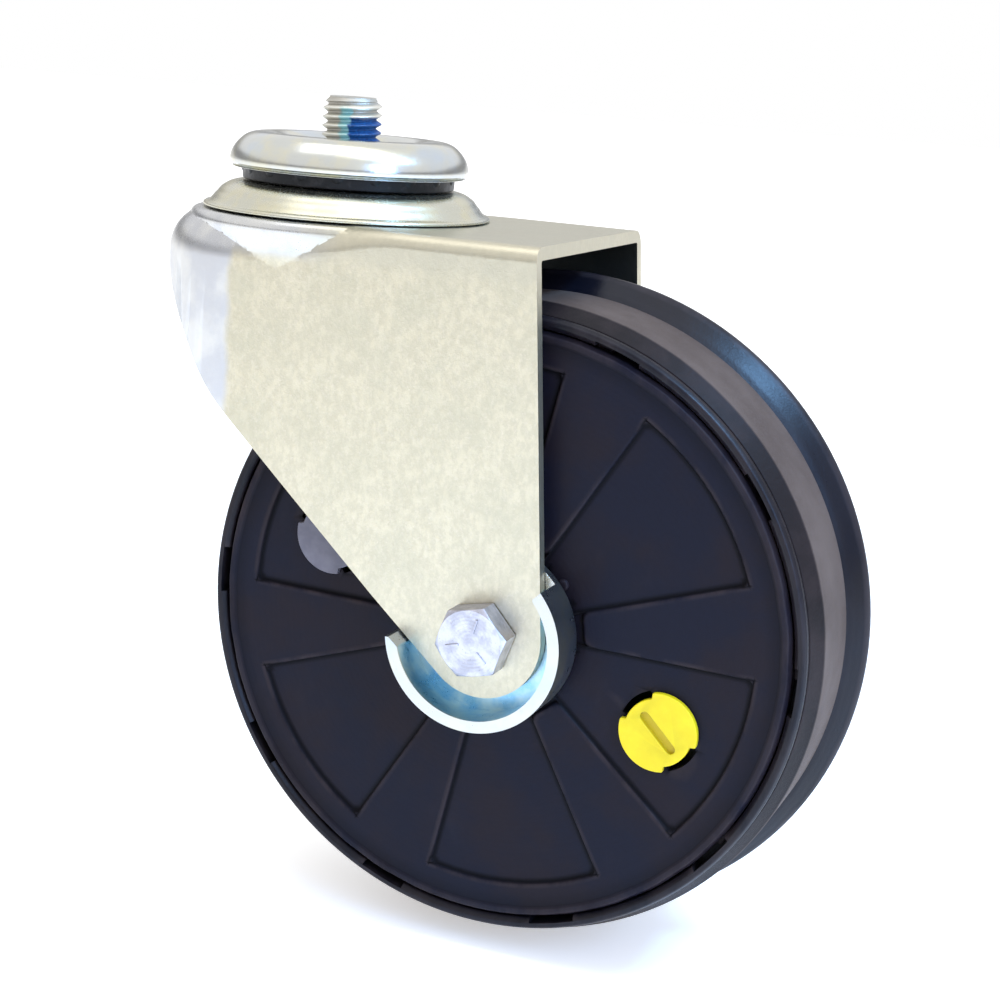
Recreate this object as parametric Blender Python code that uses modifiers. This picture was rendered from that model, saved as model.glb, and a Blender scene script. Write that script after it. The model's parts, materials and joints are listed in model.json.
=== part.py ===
"""Swivel castor with a threaded stem and a wide trolley wheel that locks itself with an inner drum brake.

Lengths at the top are in millimetres. The origin is on the swivel axis, level with the top of the bearing cap.
+Z is up, +X points to the side the wheel trails to, and -Y is the side with the twist plugs and the bolt head.
"""

import math

import bmesh
import bpy

MM = 0.001

# ---------------------------------------------------------------- driving dimensions
GAP = 0.3            # clearance between parts that sit against each other
TREAD_DIA = 127.0    # rolling diameter of the tyre
FORK_WIDTH = 61.3    # across the outside of the two legs
SHEET = 2.5          # steel sheet of the fork
STEM_DIA = 12.0      # thread of the mounting stem
STEM_PITCH = 1.75
STEM_REACH = 7.9     # stem tip above the top of the bearing cap
CAP_DIA = 48.5       # bearing cap on top of the swivel
AXLE_DIA = 8.0       # axle bolt
PLUG_DIA = 15.5      # head of a twist plug
SWIVEL_BALLS = 18
SWIVEL_BALL_DIA = 5.2
LOWER_BALLS = 12
LOWER_BALL_DIA = 4.0

# ---------------------------------------------------------------- derived: the wheel, as (radius, y) from the axle
TREAD_R = TREAD_DIA / 2
FLANGE_R = TREAD_R + 3.5                   # the flange beside the tyre stands past the tread
RIM_HALF = FORK_WIDTH / 2 - SHEET - 3.95   # half width of the whole wheel
K = RIM_HALF / 24.2                        # share of the width, for levels inside the wheel
LIP_R = TREAD_R - 2.1
SEAT_R = TREAD_R - 4.5                     # bore that the covers drop into
GROOVE_R = TREAD_R - 6.5                   # floor of the tyre groove, raised to STEP_R over the cover's seat
STEP_R = TREAD_R - 3.0
BORE_R = TREAD_R - 11.0
DRUM_R = TREAD_R - 13.3                    # braking surface
TYRE_Y0, TYRE_Y1 = -RIM_HALF + 2.5, 0.35
FLANGE_Y = 5.4 * K
COVER_OUT = RIM_HALF - 0.2                 # face of a cover
COVER_IN = COVER_OUT - 2.1
LEDGE_Y = RIM_HALF - 4.9                   # ledge in the rim that stops a cover
STEP_Y = -RIM_HALF + 7.2
PATTERN_IN, PATTERN_OUT = 18.4, TREAD_R - 11.6
RECESS = 0.8
WEDGES = 6
WEDGE_ANGLE, WEDGE_AT = 20.0, 8.7
HOOKS = 10
PLUG_AT_R = 0.592 * TREAD_R
PLUG_ANGLES = (-22.6, 159.8)
PLUG_R = PLUG_DIA / 2
BAYONET_AT = 135.0                         # direction of the bayonet slots round a plug

# ---------------------------------------------------------------- derived: bearings and axle
AXLE_R = AXLE_DIA / 2
SLEEVE_IN, SLEEVE_OUT = AXLE_R + GAP, AXLE_R + 2.3
RACE_IN = SLEEVE_OUT + 0.2
RACE_MID_IN, RACE_MID_OUT = RACE_IN + 1.7, RACE_IN + 5.3
RACE_OUT = RACE_IN + 7.2
HUB_BORE = RACE_OUT + 0.2
HUB_R = HUB_BORE + 3.2
BEARING_OUT = RIM_HALF - 0.6
BEARING_IN = BEARING_OUT - 7.0

# ---------------------------------------------------------------- derived: swivel head, heights from the cap top
CAP_R = CAP_DIA / 2
CAP_RIM_Z = -7.1
CAP_UNDER_Z = -4.1
BALL_R = SWIVEL_BALL_DIA / 2
TRACK_R = CAP_R - 2.4 - BALL_R
BALL_Z = CAP_UNDER_Z - GAP - BALL_R
RING_TOP_Z = BALL_Z - BALL_R - GAP
PLATE_TOP_Z = RING_TOP_Z - 5.5
PLATE_LOW_Z = PLATE_TOP_Z - SHEET
RING_TOP_R, RING_FOOT_R = CAP_R - 1.8, CAP_R + 4.95
CROWN_R = CAP_R + 7.75                     # rounded seat that the plate is drawn up into
LOW_BALL_R = LOWER_BALL_DIA / 2
LOW_BALL_Z = PLATE_LOW_Z - GAP - LOW_BALL_R
LOW_TRACK_R = 14.6
CUP_TOP_Z = LOW_BALL_Z - LOW_BALL_R - GAP
CUP_R = LOW_TRACK_R + LOW_BALL_R + 2.8
STEM_R = STEM_DIA / 2
SHOULDER_R = STEM_R + 2.0
PLATE_HOLE_R = SHOULDER_R + 1.6

# ---------------------------------------------------------------- derived: fork
TRAIL = 0.712 * FLANGE_R                   # swivel axis to axle
AXLE_Z = PLATE_LOW_Z - FLANGE_R - 4.8
AXLE = (TRAIL, 0.0, AXLE_Z)
PLATE_UP = PLATE_TOP_Z - AXLE_Z            # plate top above the axle
NOSE_X = -(TRAIL + 34.3)                   # front of the fork, from the axle
HALF_OUT = FORK_WIDTH / 2
HALF_IN = HALF_OUT - SHEET
LEG_END_R = 12.2
CUP_WALL_R, CUP_WALL = 17.7, 2.3           # keeper cup that holds the leg end
CUP_REACH = HALF_OUT + 5.0
CUP_FLOOR = 2.0
BOLT_FLATS, BOLT_HEAD = 1.6 * AXLE_DIA, 5.3

# ---------------------------------------------------------------- derived: brake and electronics inside the drum
TRAY_R = DRUM_R - 4.9                      # dish that carries them, fixed to the axle
TRAY_WALL = 1.6
TRAY_STEPS = 40                            # facets of the dish and of the coil round it, so they stay parallel
TRAY_Y0, TRAY_Y1 = -2.2 * K, 0.8 * K       # its plate
TRAY_LIP_Y = -14.5 * K
COIL_OUT = DRUM_R - 1.0
SHOE_OUT = DRUM_R - 1.1
LINING = 3.0
SHOE_IN = SHOE_OUT - 8.0
BRAKE_Y0, BRAKE_Y1 = 1.6 * K, 12.6 * K
PIVOT = 0.62 * DRUM_R                      # anchor pin below the axle, cam above it
CAM_A, CAM_B = 0.08 * DRUM_R, 0.14 * DRUM_R
GEAR_TEETH, PINION_TEETH = 24, 8
GEAR_R = 0.205 * DRUM_R
PINION_R = GEAR_R * PINION_TEETH / GEAR_TEETH
PINION_X = 0.261 * DRUM_R
PINION_Z = PIVOT - math.sqrt((GEAR_R + PINION_R) ** 2 - PINION_X ** 2)
CELL_R, CELL_LONG = 7.1 * K, 0.72 * TRAY_R
CELL_Y = TRAY_Y0 - GAP - CELL_R


def cell_reach(room):
    """Centre distance of a cell whose end corners stay this far inside the wall of the dish."""
    return math.sqrt((TRAY_R - TRAY_WALL - room) ** 2 - (CELL_LONG / 2) ** 2) - CELL_R


# ---------------------------------------------------------------- materials and collections
def material(name, colour, metallic=0.0, roughness=0.5):
    made = bpy.data.materials.new(name)
    made.use_nodes = True
    shader = made.node_tree.nodes["Principled BSDF"]
    shader.inputs["Base Color"].default_value = (*colour, 1.0)
    shader.inputs["Metallic"].default_value = metallic
    shader.inputs["Roughness"].default_value = roughness
    made.diffuse_color = (*colour, 1.0)
    return made


for old in list(bpy.data.objects):
    bpy.data.objects.remove(old, do_unlink=True)

PARTS = bpy.data.collections.new("trolley_castor")
CUTTERS = bpy.data.collections.new("cutters")
CUTTERS.hide_render = True
bpy.context.scene.collection.children.link(PARTS)
bpy.context.scene.collection.children.link(CUTTERS)

ZINC = (0.74, 0.72, 0.62)
STEEL = (0.62, 0.63, 0.66)
BLACK = (0.03, 0.028, 0.04)


def place(name, mesh, at, look=None):
    """An object for a part, or a hidden cutter when it has no material."""
    made = bpy.data.objects.new(name, mesh)
    made.location = [value * MM for value in at]
    if look:
        PARTS.objects.link(made)
        mesh.materials.append(material("m_" + name, *look))
    else:
        CUTTERS.objects.link(made)
        made.hide_render = True
        made.display_type = "WIRE"
    return made


def boolean(part, tool, operation="DIFFERENCE"):
    change = part.modifiers.new(operation.lower() + "_" + tool.name, "BOOLEAN")
    change.operation = operation
    change.solver = "EXACT"
    change.object = tool
    return part


# ---------------------------------------------------------------- shapes
def revolve(name, profile, steps, at=(0, 0, 0), look=None, along_y=False):
    """A closed (radius, height) profile turned round Z, or round Y with height as y."""
    area = sum(a[0] * b[1] - b[0] * a[1] for a, b in zip(profile, profile[1:] + profile[:1]))
    points = profile if area < 0 else profile[::-1]
    mesh = bpy.data.meshes.new(name)
    count = len(points)
    edges = [(i, (i + 1) % count) for i in range(count)]
    if min(r for r, _ in points) == 0:
        edges = [e for e in edges if points[e[0]][0] > 0 or points[e[1]][0] > 0]
    mesh.from_pydata([(r * MM, 0, h * MM) for r, h in points], edges, [])
    made = place(name, mesh, at, look)
    turn = made.modifiers.new("turn", "SCREW")
    turn.steps = turn.render_steps = steps
    turn.use_merge_vertices = True
    turn.merge_threshold = 0.00001
    turn.use_smooth_shade = False
    if along_y:
        made.rotation_euler = (-math.pi / 2, 0, 0)
    return made


def prism(name, outline, low, high, at=(0, 0, 0), look=None, axis="Y"):
    """An outline pulled along an axis: (x, z) along Y, (x, y) along Z, or (y, z) along X."""
    area = sum(a[0] * b[1] - b[0] * a[1] for a, b in zip(outline, outline[1:] + outline[:1]))
    points = outline if area > 0 else outline[::-1]
    spread = {
        "Y": lambda p, t: (p[0], t, p[1]),
        "Z": lambda p, t: (p[0], p[1], t),
        "X": lambda p, t: (t, p[0], p[1]),
    }[axis]
    count = len(points)
    corners = [spread(p, t) for t in (low, high) for p in points]
    faces = [tuple(range(count)), tuple(range(count, 2 * count))[::-1]]
    faces += [(i, i + count, (i + 1) % count + count, (i + 1) % count) for i in range(count)]
    if axis != "Y":
        faces = [face[::-1] for face in faces]
    mesh = bpy.data.meshes.new(name)
    mesh.from_pydata([tuple(v * MM for v in c) for c in corners], [], faces)
    return place(name, mesh, at, look)


def rounded(part, width, segments=3, angle=50.0):
    bevel = part.modifiers.new("round", "BEVEL")
    bevel.width = width * MM
    bevel.segments = segments
    bevel.limit_method = "ANGLE"
    bevel.angle_limit = math.radians(angle)
    return part


def polar(radius, degrees, centre=(0.0, 0.0)):
    turn = math.radians(degrees)
    return (centre[0] + radius * math.cos(turn), centre[1] + radius * math.sin(turn))


def arc(radius, start, end, steps, centre=(0.0, 0.0)):
    return [polar(radius, start + (end - start) * i / steps, centre) for i in range(steps + 1)]


def circle(radius, steps, centre=(0.0, 0.0)):
    return arc(radius, 0, 360, steps, centre)[:-1]


def sector(inner, outer, start, end, steps):
    return arc(inner, start, end, steps) + arc(outer, end, start, steps)


def rectangle(x0, x1, z0, z1):
    return [(x0, z0), (x1, z0), (x1, z1), (x0, z1)]


def ring_profile(inner, outer, low, high, chamfer=0.0):
    if not chamfer:
        return [(inner, low), (outer, low), (outer, high), (inner, high)]
    c = chamfer
    return [(inner, low), (outer - c, low), (outer, low + c),
            (outer, high - c), (outer - c, high), (inner, high)]


def gear(teeth, pitch_r, phase):
    """Slim straight teeth, so that a coupled pair runs with backlash."""
    step = 360.0 / teeth
    depth = pitch_r * 2.0 / teeth
    points = []
    for i in range(teeth):
        at = phase + i * step
        points += [polar(pitch_r - 1.25 * depth, at - 0.30 * step), polar(pitch_r + 0.75 * depth, at - 0.10 * step),
                   polar(pitch_r + 0.75 * depth, at + 0.10 * step), polar(pitch_r - 1.25 * depth, at + 0.30 * step)]
    return points


def ball_ring(name, track_r, height, ball_r, balls, at, look, along_y=False):
    """A cage with its balls, joined where the cage holds them."""
    cage = revolve(name, ring_profile(track_r - 0.62 * ball_r, track_r + 0.62 * ball_r, height - 0.4 * ball_r,
                                      height + 0.4 * ball_r), 30, at, look, along_y)
    mesh = bpy.data.meshes.new(name + "_balls")
    build = bmesh.new()
    for i in range(balls):
        x, y = polar(track_r, (i + 0.5) * 360.0 / balls)
        new = bmesh.ops.create_icosphere(build, subdivisions=1, radius=ball_r * MM)
        bmesh.ops.translate(build, verts=new["verts"], vec=(x * MM, y * MM, height * MM))
    build.to_mesh(mesh)
    build.free()
    balls_tool = place(name + "_balls", mesh, at)
    balls_tool.rotation_euler = cage.rotation_euler
    return boolean(cage, balls_tool, "UNION")


# ---------------------------------------------------------------- swivel head
def kingpin():
    """Threaded stem, shoulder and riveted head in one piece, with a real helical thread."""
    columns, per_turn = 24, 4
    depth = 0.61 * STEM_PITCH
    thread_low, thread_high = CAP_UNDER_Z + 0.2, STEM_REACH - 1.3
    below = CUP_TOP_Z - 2.2
    rows = [(STEM_R + 1.6, below - 3.6), (STEM_R + 3.4, below - 2.4), (STEM_R + 3.4, below - GAP),
            (STEM_R, below - GAP), (STEM_R, CUP_TOP_Z + GAP), (SHOULDER_R, CUP_TOP_Z + GAP),
            (SHOULDER_R, CAP_UNDER_Z - GAP), (STEM_R - depth, CAP_UNDER_Z - GAP)]
    turns = int((thread_high - thread_low) / STEM_PITCH * per_turn)
    rows += [(None, thread_low + i * STEM_PITCH / per_turn) for i in range(turns + 1)]
    rows += [(STEM_R - depth - 0.1, STEM_REACH - 0.5), (STEM_R - depth - 0.7, STEM_REACH)]
    corners = []
    for radius, height in rows:
        for i in range(columns):
            share = (height / STEM_PITCH - i / columns) % 1.0
            r = radius if radius is not None else STEM_R - depth * abs(2 * share - 1)
            corners.append(polar(r, 360.0 * i / columns) + (height,))
    faces = [tuple(range(columns))[::-1]]
    for k in range(len(rows) - 1):
        a, b = k * columns, (k + 1) * columns
        faces += [(a + i, a + (i + 1) % columns, b + (i + 1) % columns, b + i) for i in range(columns)]
    faces.append(tuple(range(len(corners) - columns, len(corners))))
    mesh = bpy.data.meshes.new("kingpin")
    mesh.from_pydata([tuple(v * MM for v in c) for c in corners], [], faces)
    return place("kingpin", mesh, (0, 0, 0), (STEEL, 1.0, 0.35))


kingpin()

revolve("bearing_cap", [
    (STEM_R + GAP, CAP_UNDER_Z), (CAP_R - 2.6, CAP_UNDER_Z), (CAP_R - 2.1, CAP_UNDER_Z - 0.5), (CAP_R - 2.1, CAP_RIM_Z),
    (CAP_R - 0.4, CAP_RIM_Z), (CAP_R, CAP_RIM_Z + 0.5), (CAP_R - 0.1, -5.2), (CAP_R - 0.4, -4.0), (CAP_R - 1.0, -2.9),
    (CAP_R - 1.9, -1.8), (CAP_R - 3.1, -0.8), (CAP_R - 4.5, -0.2), (CAP_R - 5.8, 0.0), (CAP_R - 8.4, 0.0),
    (CAP_R - 10.4, -0.5), (CAP_R - 12.4, -1.5), (CAP_R - 14.2, -2.3), (STEM_R + GAP, -2.4),
], 40, look=(ZINC, 1.0, 0.25))

ball_ring("upper_ball_ring", TRACK_R, BALL_Z, BALL_R, SWIVEL_BALLS, (0, 0, 0), ((0.03, 0.03, 0.035), 0.6, 0.3))

revolve("swivel_race_ring", [
    (PLATE_HOLE_R + 2.4, RING_TOP_Z), (RING_TOP_R, RING_TOP_Z), (RING_TOP_R + 1.7, RING_TOP_Z - 0.5),
    (RING_TOP_R + 3.2, RING_TOP_Z - 1.5), (RING_TOP_R + 4.5, RING_TOP_Z - 3.0), (RING_TOP_R + 5.5, RING_TOP_Z - 4.2),
    (RING_FOOT_R - 0.4, RING_TOP_Z - 4.5), (RING_FOOT_R, RING_TOP_Z - 4.8),
    (RING_FOOT_R, PLATE_TOP_Z + GAP), (RING_TOP_R + 3.2, PLATE_TOP_Z + GAP), (RING_TOP_R, RING_TOP_Z - 2.4),
    (PLATE_HOLE_R + 2.4, RING_TOP_Z - 2.4),
], 40, look=(ZINC, 1.0, 0.25))

ball_ring("lower_ball_ring", LOW_TRACK_R, LOW_BALL_Z, LOW_BALL_R, LOWER_BALLS, (0, 0, 0), ((0.05, 0.05, 0.05), 0.7, 0.3))

revolve("lower_race_cup", [
    (STEM_R + GAP, CUP_TOP_Z - 2.0), (CUP_R - 1.2, CUP_TOP_Z - 2.0), (CUP_R, CUP_TOP_Z - 0.9), (CUP_R, PLATE_LOW_Z - 1.0),
    (CUP_R - 1.9, PLATE_LOW_Z - 1.0), (CUP_R - 1.9, CUP_TOP_Z), (STEM_R + GAP, CUP_TOP_Z),
], 36, look=(ZINC, 1.0, 0.3))


# ---------------------------------------------------------------- fork
def leg_outline(grow=0.0):
    """Side view of the fork from the axle: leg end, slanted edge, then the underside of the nose."""
    sx, sz = NOSE_X / -82.0, PLATE_UP / 74.3
    end_r = LEG_END_R + grow
    edge = [(-23.8 * sx, 4.6 * sz), (-52.3 * sx, 30.8 * sz), (-62.6 * sx, 40.8 * sz), (-69.3 * sx, 50.3 * sz),
            (-75.9 * sx, 59.8 * sz), (-82.6 * sx, 69.4 * sz)]
    lower = [(x - 0.7 * grow, z - 0.75 * grow) for x, z in edge]
    top = PLATE_UP + 1.0 + grow
    return ([(NOSE_X - 2.0 - grow, lower[-1][1])] + lower[::-1] + arc(end_r, 226, 364, 12)
            + [(5.5 + grow, top), (NOSE_X - 2.0 - grow, top)])


def bend_radius(x):
    """Outer radius of the bend between plate and wall: tight over the wheel, wide round the nose."""
    share = min(1.0, max(0.0, (-22.0 - x) / 28.0))
    return 3.0 + 5.5 * share * share * (3 - 2 * share)


def fork_block(name, inset, look=None):
    """Plan view of the fork with a round nose, with its walls bent over into the plate."""
    corner, back = 25.0, 30.0 + inset
    legs = [back, -22.3, -32.0, -40.0, -48.0]
    centre = NOSE_X + corner
    path = [(x, HALF_OUT, 90.0) for x in legs]
    path += [(*polar(corner, a, (centre, HALF_OUT - corner)), a) for a in range(90, 181, 15)]
    path += [(*polar(corner, a, (centre, corner - HALF_OUT)), a) for a in range(180, 271, 15)]
    path += [(x, -HALF_OUT, 270.0) for x in legs[::-1]]
    rings = [(-1.0, 0.0)] + [(a / 4.0, a / 4.0) for a in range(5)]
    corners = []
    for level, turn in rings:
        for x, y, facing in path:
            bend = max(0.6, bend_radius(x) - inset)
            quarter = math.radians(90.0 * turn)
            off = inset + bend * (1 - math.cos(quarter))
            nx, ny = polar(1.0, facing)
            top = PLATE_UP - inset
            height = -back if level < 0 else top - bend + bend * math.sin(quarter)
            corners.append((x - nx * off, y - ny * off, height))
    count = len(path)
    faces = [tuple(range(count))[::-1], tuple(range(len(corners) - count, len(corners)))]
    for k in range(len(rings) - 1):
        a, b = k * count, (k + 1) * count
        faces += [(a + i, a + (i + 1) % count, b + (i + 1) % count, b + i) for i in range(count)]
    mesh = bpy.data.meshes.new(name)
    mesh.from_pydata([tuple(v * MM for v in c) for c in corners], [], faces)
    return place(name, mesh, AXLE, look)


fork = fork_block("fork", 0.0, (ZINC, 1.0, 0.35))
crown = revolve("fork_crown", [(0, PLATE_TOP_Z - 10.0), (HALF_OUT - 0.1, PLATE_TOP_Z - 10.0),
                               (CROWN_R, PLATE_TOP_Z - 1.2), (CROWN_R - 0.6, PLATE_TOP_Z - 0.1),
                               (0, PLATE_TOP_Z - 0.1)], 48)
boolean(fork, crown, "UNION")
boolean(fork, fork_block("fork_inside", SHEET))
boolean(fork, prism("fork_side", leg_outline(), -60, 60, AXLE), "INTERSECT")
boolean(fork, prism("fork_axle_hole", circle(AXLE_R + GAP, 32), -60, 60, AXLE))
boolean(fork, prism("fork_swivel_hole", circle(PLATE_HOLE_R, 40), PLATE_LOW_Z - 3, PLATE_TOP_Z + 3, axis="Z"))
weld = fork.modifiers.new("weld", "WELD")
weld.merge_threshold = 0.005 * MM


# ---------------------------------------------------------------- axle hardware
def keeper_cup(name, side):
    """Half ring round the leg end, on a floor between the leg and the wheel."""
    near, far = side * (HALF_IN - GAP), side * CUP_REACH
    floor_in = side * (HALF_IN - GAP - CUP_FLOOR)
    made = prism(name, circle(CUP_WALL_R, 48), *sorted((floor_in, far)), AXLE, (ZINC, 1.0, 0.3))
    wall = CUP_WALL_R - CUP_WALL
    mouth = [polar(1.6 * CUP_WALL_R, 43), polar(1.9 * CUP_WALL_R, 114), polar(1.6 * CUP_WALL_R, 185)]
    boolean(made, prism(name + "_inside", circle(wall, 48), *sorted((near, far + side * 5)), AXLE))
    opening = [(0.0, 0.0), polar(wall * 0.9, 41)] + mouth + [polar(wall * 0.9, 187)]
    boolean(made, prism(name + "_mouth", opening, *sorted((near, far + side * 5)), AXLE))
    boolean(made, prism(name + "_leg", leg_outline(0.4), *sorted((near, far + side * 5)), AXLE))
    boolean(made, prism(name + "_hole", circle(AXLE_R + GAP, 32), *sorted((near * 0.5, far)), AXLE))
    return made


keeper_cup("keeper_cup_near", -1)
keeper_cup("keeper_cup_far", 1)

head_y = -(HALF_OUT + GAP)
bolt = revolve("axle_bolt", [
    (0, head_y - 0.6), (AXLE_R, head_y - 0.6), (AXLE_R, HALF_OUT + 9.2), (AXLE_R - 0.9, HALF_OUT + 10.2),
    (0, HALF_OUT + 10.2),
], 32, AXLE, (STEEL, 1.0, 0.35), along_y=True)
hex_r = BOLT_FLATS / math.sqrt(3)
hexagon = [polar(hex_r, 12 + 60 * i) for i in range(6)]
head = rounded(prism("bolt_head", hexagon, head_y - BOLT_HEAD, head_y, AXLE), 0.35, 2, 80.0)
boolean(bolt, head, "UNION")
for k in range(3):
    mark = [(-0.3, 2.2), (0.3, 2.2), (0.3, 5.0), (-0.3, 5.0)]
    turn = math.radians(75 + 120 * k)
    turned = [(x * math.cos(turn) - z * math.sin(turn), x * math.sin(turn) + z * math.cos(turn)) for x, z in mark]
    boolean(bolt, prism(f"bolt_mark_{k}", turned, head_y - BOLT_HEAD - 0.25, head_y - BOLT_HEAD + 0.4, AXLE), "UNION")

washer_y = HALF_OUT + GAP
revolve("nut_washer", ring_profile(AXLE_R + GAP, AXLE_R + 4.6, washer_y, washer_y + 1.6, 0.2), 28, AXLE,
        (STEEL, 1.0, 0.35), along_y=True)
nut_y = washer_y + 1.6 + 0.1
nut = rounded(prism("axle_nut", hexagon, nut_y, nut_y + 6.4, AXLE, (STEEL, 1.0, 0.35)), 0.4, 2, 80.0)
boolean(nut, prism("axle_nut_bore", circle(AXLE_R + 0.12, 32), nut_y - 2, nut_y + 9, AXLE))

sleeve_end = HALF_IN - 2 * GAP - CUP_FLOOR
revolve("axle_sleeve", ring_profile(SLEEVE_IN, SLEEVE_OUT, -sleeve_end, sleeve_end, 0.3), 32, AXLE,
        (STEEL, 1.0, 0.3), along_y=True)


# ---------------------------------------------------------------- wheel
def wheel_rim():
    h, lip = RIM_HALF, LIP_R
    flange, back = FLANGE_R, FLANGE_Y + 1.1 * K
    profile = [
        (SEAT_R, -LEDGE_Y), (SEAT_R, -h + 0.8), (SEAT_R + 0.4, -h + 0.2), (SEAT_R + 1.1, -h), (lip - 0.6, -h + 0.1),
        (lip - 0.1, -h + 0.5), (lip, -h + 1.2), (lip, TYRE_Y0 - GAP), (STEP_R, TYRE_Y0 - GAP),
        (STEP_R, STEP_Y), (GROOVE_R, STEP_Y), (GROOVE_R, TYRE_Y1 + GAP), (TREAD_R - 0.5, TYRE_Y1 + GAP), (TREAD_R + 1.0, FLANGE_Y * 0.42), (flange, FLANGE_Y),
        (flange, back), (flange - 0.5, back + 0.6), (flange - 2.4, back + 1.2), (lip + 0.8, back + 2.4),
        (lip, back + 4.0), (lip, h - 1.2), (lip - 0.1, h - 0.5), (lip - 0.6, h - 0.1), (SEAT_R + 1.1, h),
        (SEAT_R + 0.4, h - 0.2), (SEAT_R, h - 0.8), (SEAT_R, LEDGE_Y), (BORE_R, LEDGE_Y), (BORE_R, -LEDGE_Y),
    ]
    made = revolve("wheel_rim", profile, 48, AXLE, (BLACK, 0.0, 0.4), along_y=True)
    for side in (-1, 1):
        for i in range(HOOKS):
            at = -2.0 + i * 360.0 / HOOKS
            pocket = sector(SEAT_R - 0.8, SEAT_R + 1.0, at - 4.5, at + 4.5, 2)
            ends = sorted((side * (LEDGE_Y + 0.3), side * (h + 1.0)))
            boolean(made, prism(f"hook_pocket_{side + 1}_{i}", pocket, *ends, AXLE))
    return made


wheel_rim()

revolve("tyre", [
    (STEP_R + GAP, TYRE_Y0), (LIP_R - 0.1, TYRE_Y0), (LIP_R + 0.5, TYRE_Y0 + 0.3), (TREAD_R - 0.5, TYRE_Y0 + 3.2),
    (TREAD_R, TYRE_Y0 + 4.0), (TREAD_R, TYRE_Y1 - 0.5), (TREAD_R - 0.4, TYRE_Y1), (GROOVE_R + GAP, TYRE_Y1),
    (GROOVE_R + GAP, STEP_Y + GAP), (STEP_R + GAP, STEP_Y + GAP),
], 60, AXLE, ((0.30, 0.27, 0.27), 0.0, 0.6), along_y=True)

revolve("brake_drum", ring_profile(DRUM_R, BORE_R - GAP, BRAKE_Y0 - 2.0 * K, BRAKE_Y1 + 2.0 * K), 40, AXLE,
        (STEEL, 1.0, 0.4), along_y=True)


def cover(name, side, plugs):
    """Snap-in cover with a bead, raised wedges, a low ring at the hub and a seat for the bearing."""
    edge = SEAT_R - GAP
    profile = [
        (edge, LEDGE_Y + GAP), (edge, COVER_OUT - 0.9), (edge - 0.6, COVER_OUT + 0.3), (edge - 1.6, COVER_OUT + 0.3),
        (edge - 2.2, COVER_OUT), (PATTERN_IN, COVER_OUT), (PATTERN_IN, COVER_OUT - RECESS),
        (HUB_BORE + 1.1, COVER_OUT - RECESS), (HUB_BORE + 1.1, RIM_HALF + 0.4), (HUB_BORE, RIM_HALF + 0.4),
        (HUB_BORE, BEARING_IN), (HUB_R, BEARING_IN), (HUB_R, COVER_IN), (edge - 3.2, COVER_IN),
        (edge - 3.2, LEDGE_Y + GAP),
    ]
    profile = [(r, side * y) for r, y in profile]
    made = revolve(name, profile, 48, AXLE, (BLACK, 0.0, 0.45), along_y=True)
    wide = 360.0 / WEDGES - WEDGE_ANGLE
    faces = sorted((side * (COVER_OUT - RECESS), side * (COVER_OUT + 1.0)))
    for i in range(WEDGES):
        middle = WEDGE_AT + 180.0 / WEDGES + i * 360.0 / WEDGES
        outline = sector(PATTERN_IN - 0.5, PATTERN_OUT, middle - wide / 2, middle + wide / 2, 8)
        boolean(made, prism(f"{name}_sector_{i}", outline, *faces, AXLE))
    depth = sorted((side * (COVER_IN - 2), side * (COVER_OUT + 1)))
    for k, angle in enumerate(plugs):
        centre = polar(PLUG_AT_R, angle)
        slot = []
        for start in (BAYONET_AT, BAYONET_AT + 180):
            slot += arc(PLUG_R + 0.2, start - 27, start + 27, 4, centre)
            slot += arc(PLUG_R * 0.7, start + 37, start + 143, 6, centre)
        boolean(made, prism(f"{name}_plug_seat_{k}", slot, *depth, AXLE))
    return made


cover("near_cover", -1, PLUG_ANGLES)
cover("far_cover", 1, ())


def bearing(side, label):
    ends = sorted((side * BEARING_IN, side * BEARING_OUT))
    middle = (ends[0] + ends[1]) / 2
    revolve(f"outer_race_{label}", ring_profile(RACE_MID_OUT, RACE_OUT, *ends), 36, AXLE, (STEEL, 1.0, 0.2), True)
    revolve(f"inner_race_{label}", ring_profile(RACE_IN, RACE_MID_IN, *ends), 32, AXLE, (STEEL, 1.0, 0.2), True)
    ball_ring(f"bearing_balls_{label}", (RACE_MID_IN + RACE_MID_OUT) / 2, middle,
              (RACE_MID_OUT - RACE_MID_IN) / 2 - 0.15, 8, AXLE, (STEEL, 1.0, 0.2), True)


bearing(-1, "near")
bearing(1, "far")


def plug(name, angle, colour):
    """Twist plug: cut-away head, round neck and two bayonet lugs turned a quarter from their slots."""
    x, z = polar(PLUG_AT_R, angle)
    at = (AXLE[0] + x, 0.0, AXLE[2] + z)
    seat = -(COVER_OUT - RECESS) - 0.2
    outline = []
    for start in (BAYONET_AT, BAYONET_AT + 180):
        outline += arc(PLUG_R * 0.86, start - 30, start + 30, 5)
        outline += arc(PLUG_R, start + 33, start + 147, 9)
    made = prism(name, outline, seat - 1.3, seat, at, (colour, 0.0, 0.35))
    neck = circle(PLUG_R * 0.7 - GAP, 24)
    boolean(made, prism(name + "_neck", neck, seat - 0.6, -COVER_IN + 1.9, at), "UNION")
    for k in (0, 1):
        lug = sector(PLUG_R * 0.3, PLUG_R * 0.92, BAYONET_AT + 90 + 180 * k - 20, BAYONET_AT + 90 + 180 * k + 20, 3)
        boolean(made, prism(f"{name}_lug_{k}", lug, -COVER_IN + GAP, -COVER_IN + 1.7, at), "UNION")
    ux, uz = polar(1.0, BAYONET_AT)
    long, wide = 0.62 * PLUG_R, 0.12 * PLUG_R
    groove = [(sx * long * ux - sz * wide * uz, sx * long * uz + sz * wide * ux)
              for sx, sz in ((-1, -1), (1, -1), (1, 1), (-1, 1))]
    boolean(made, prism(name + "_groove", groove, seat - 3.0, seat - 0.5, at))
    return made


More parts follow.
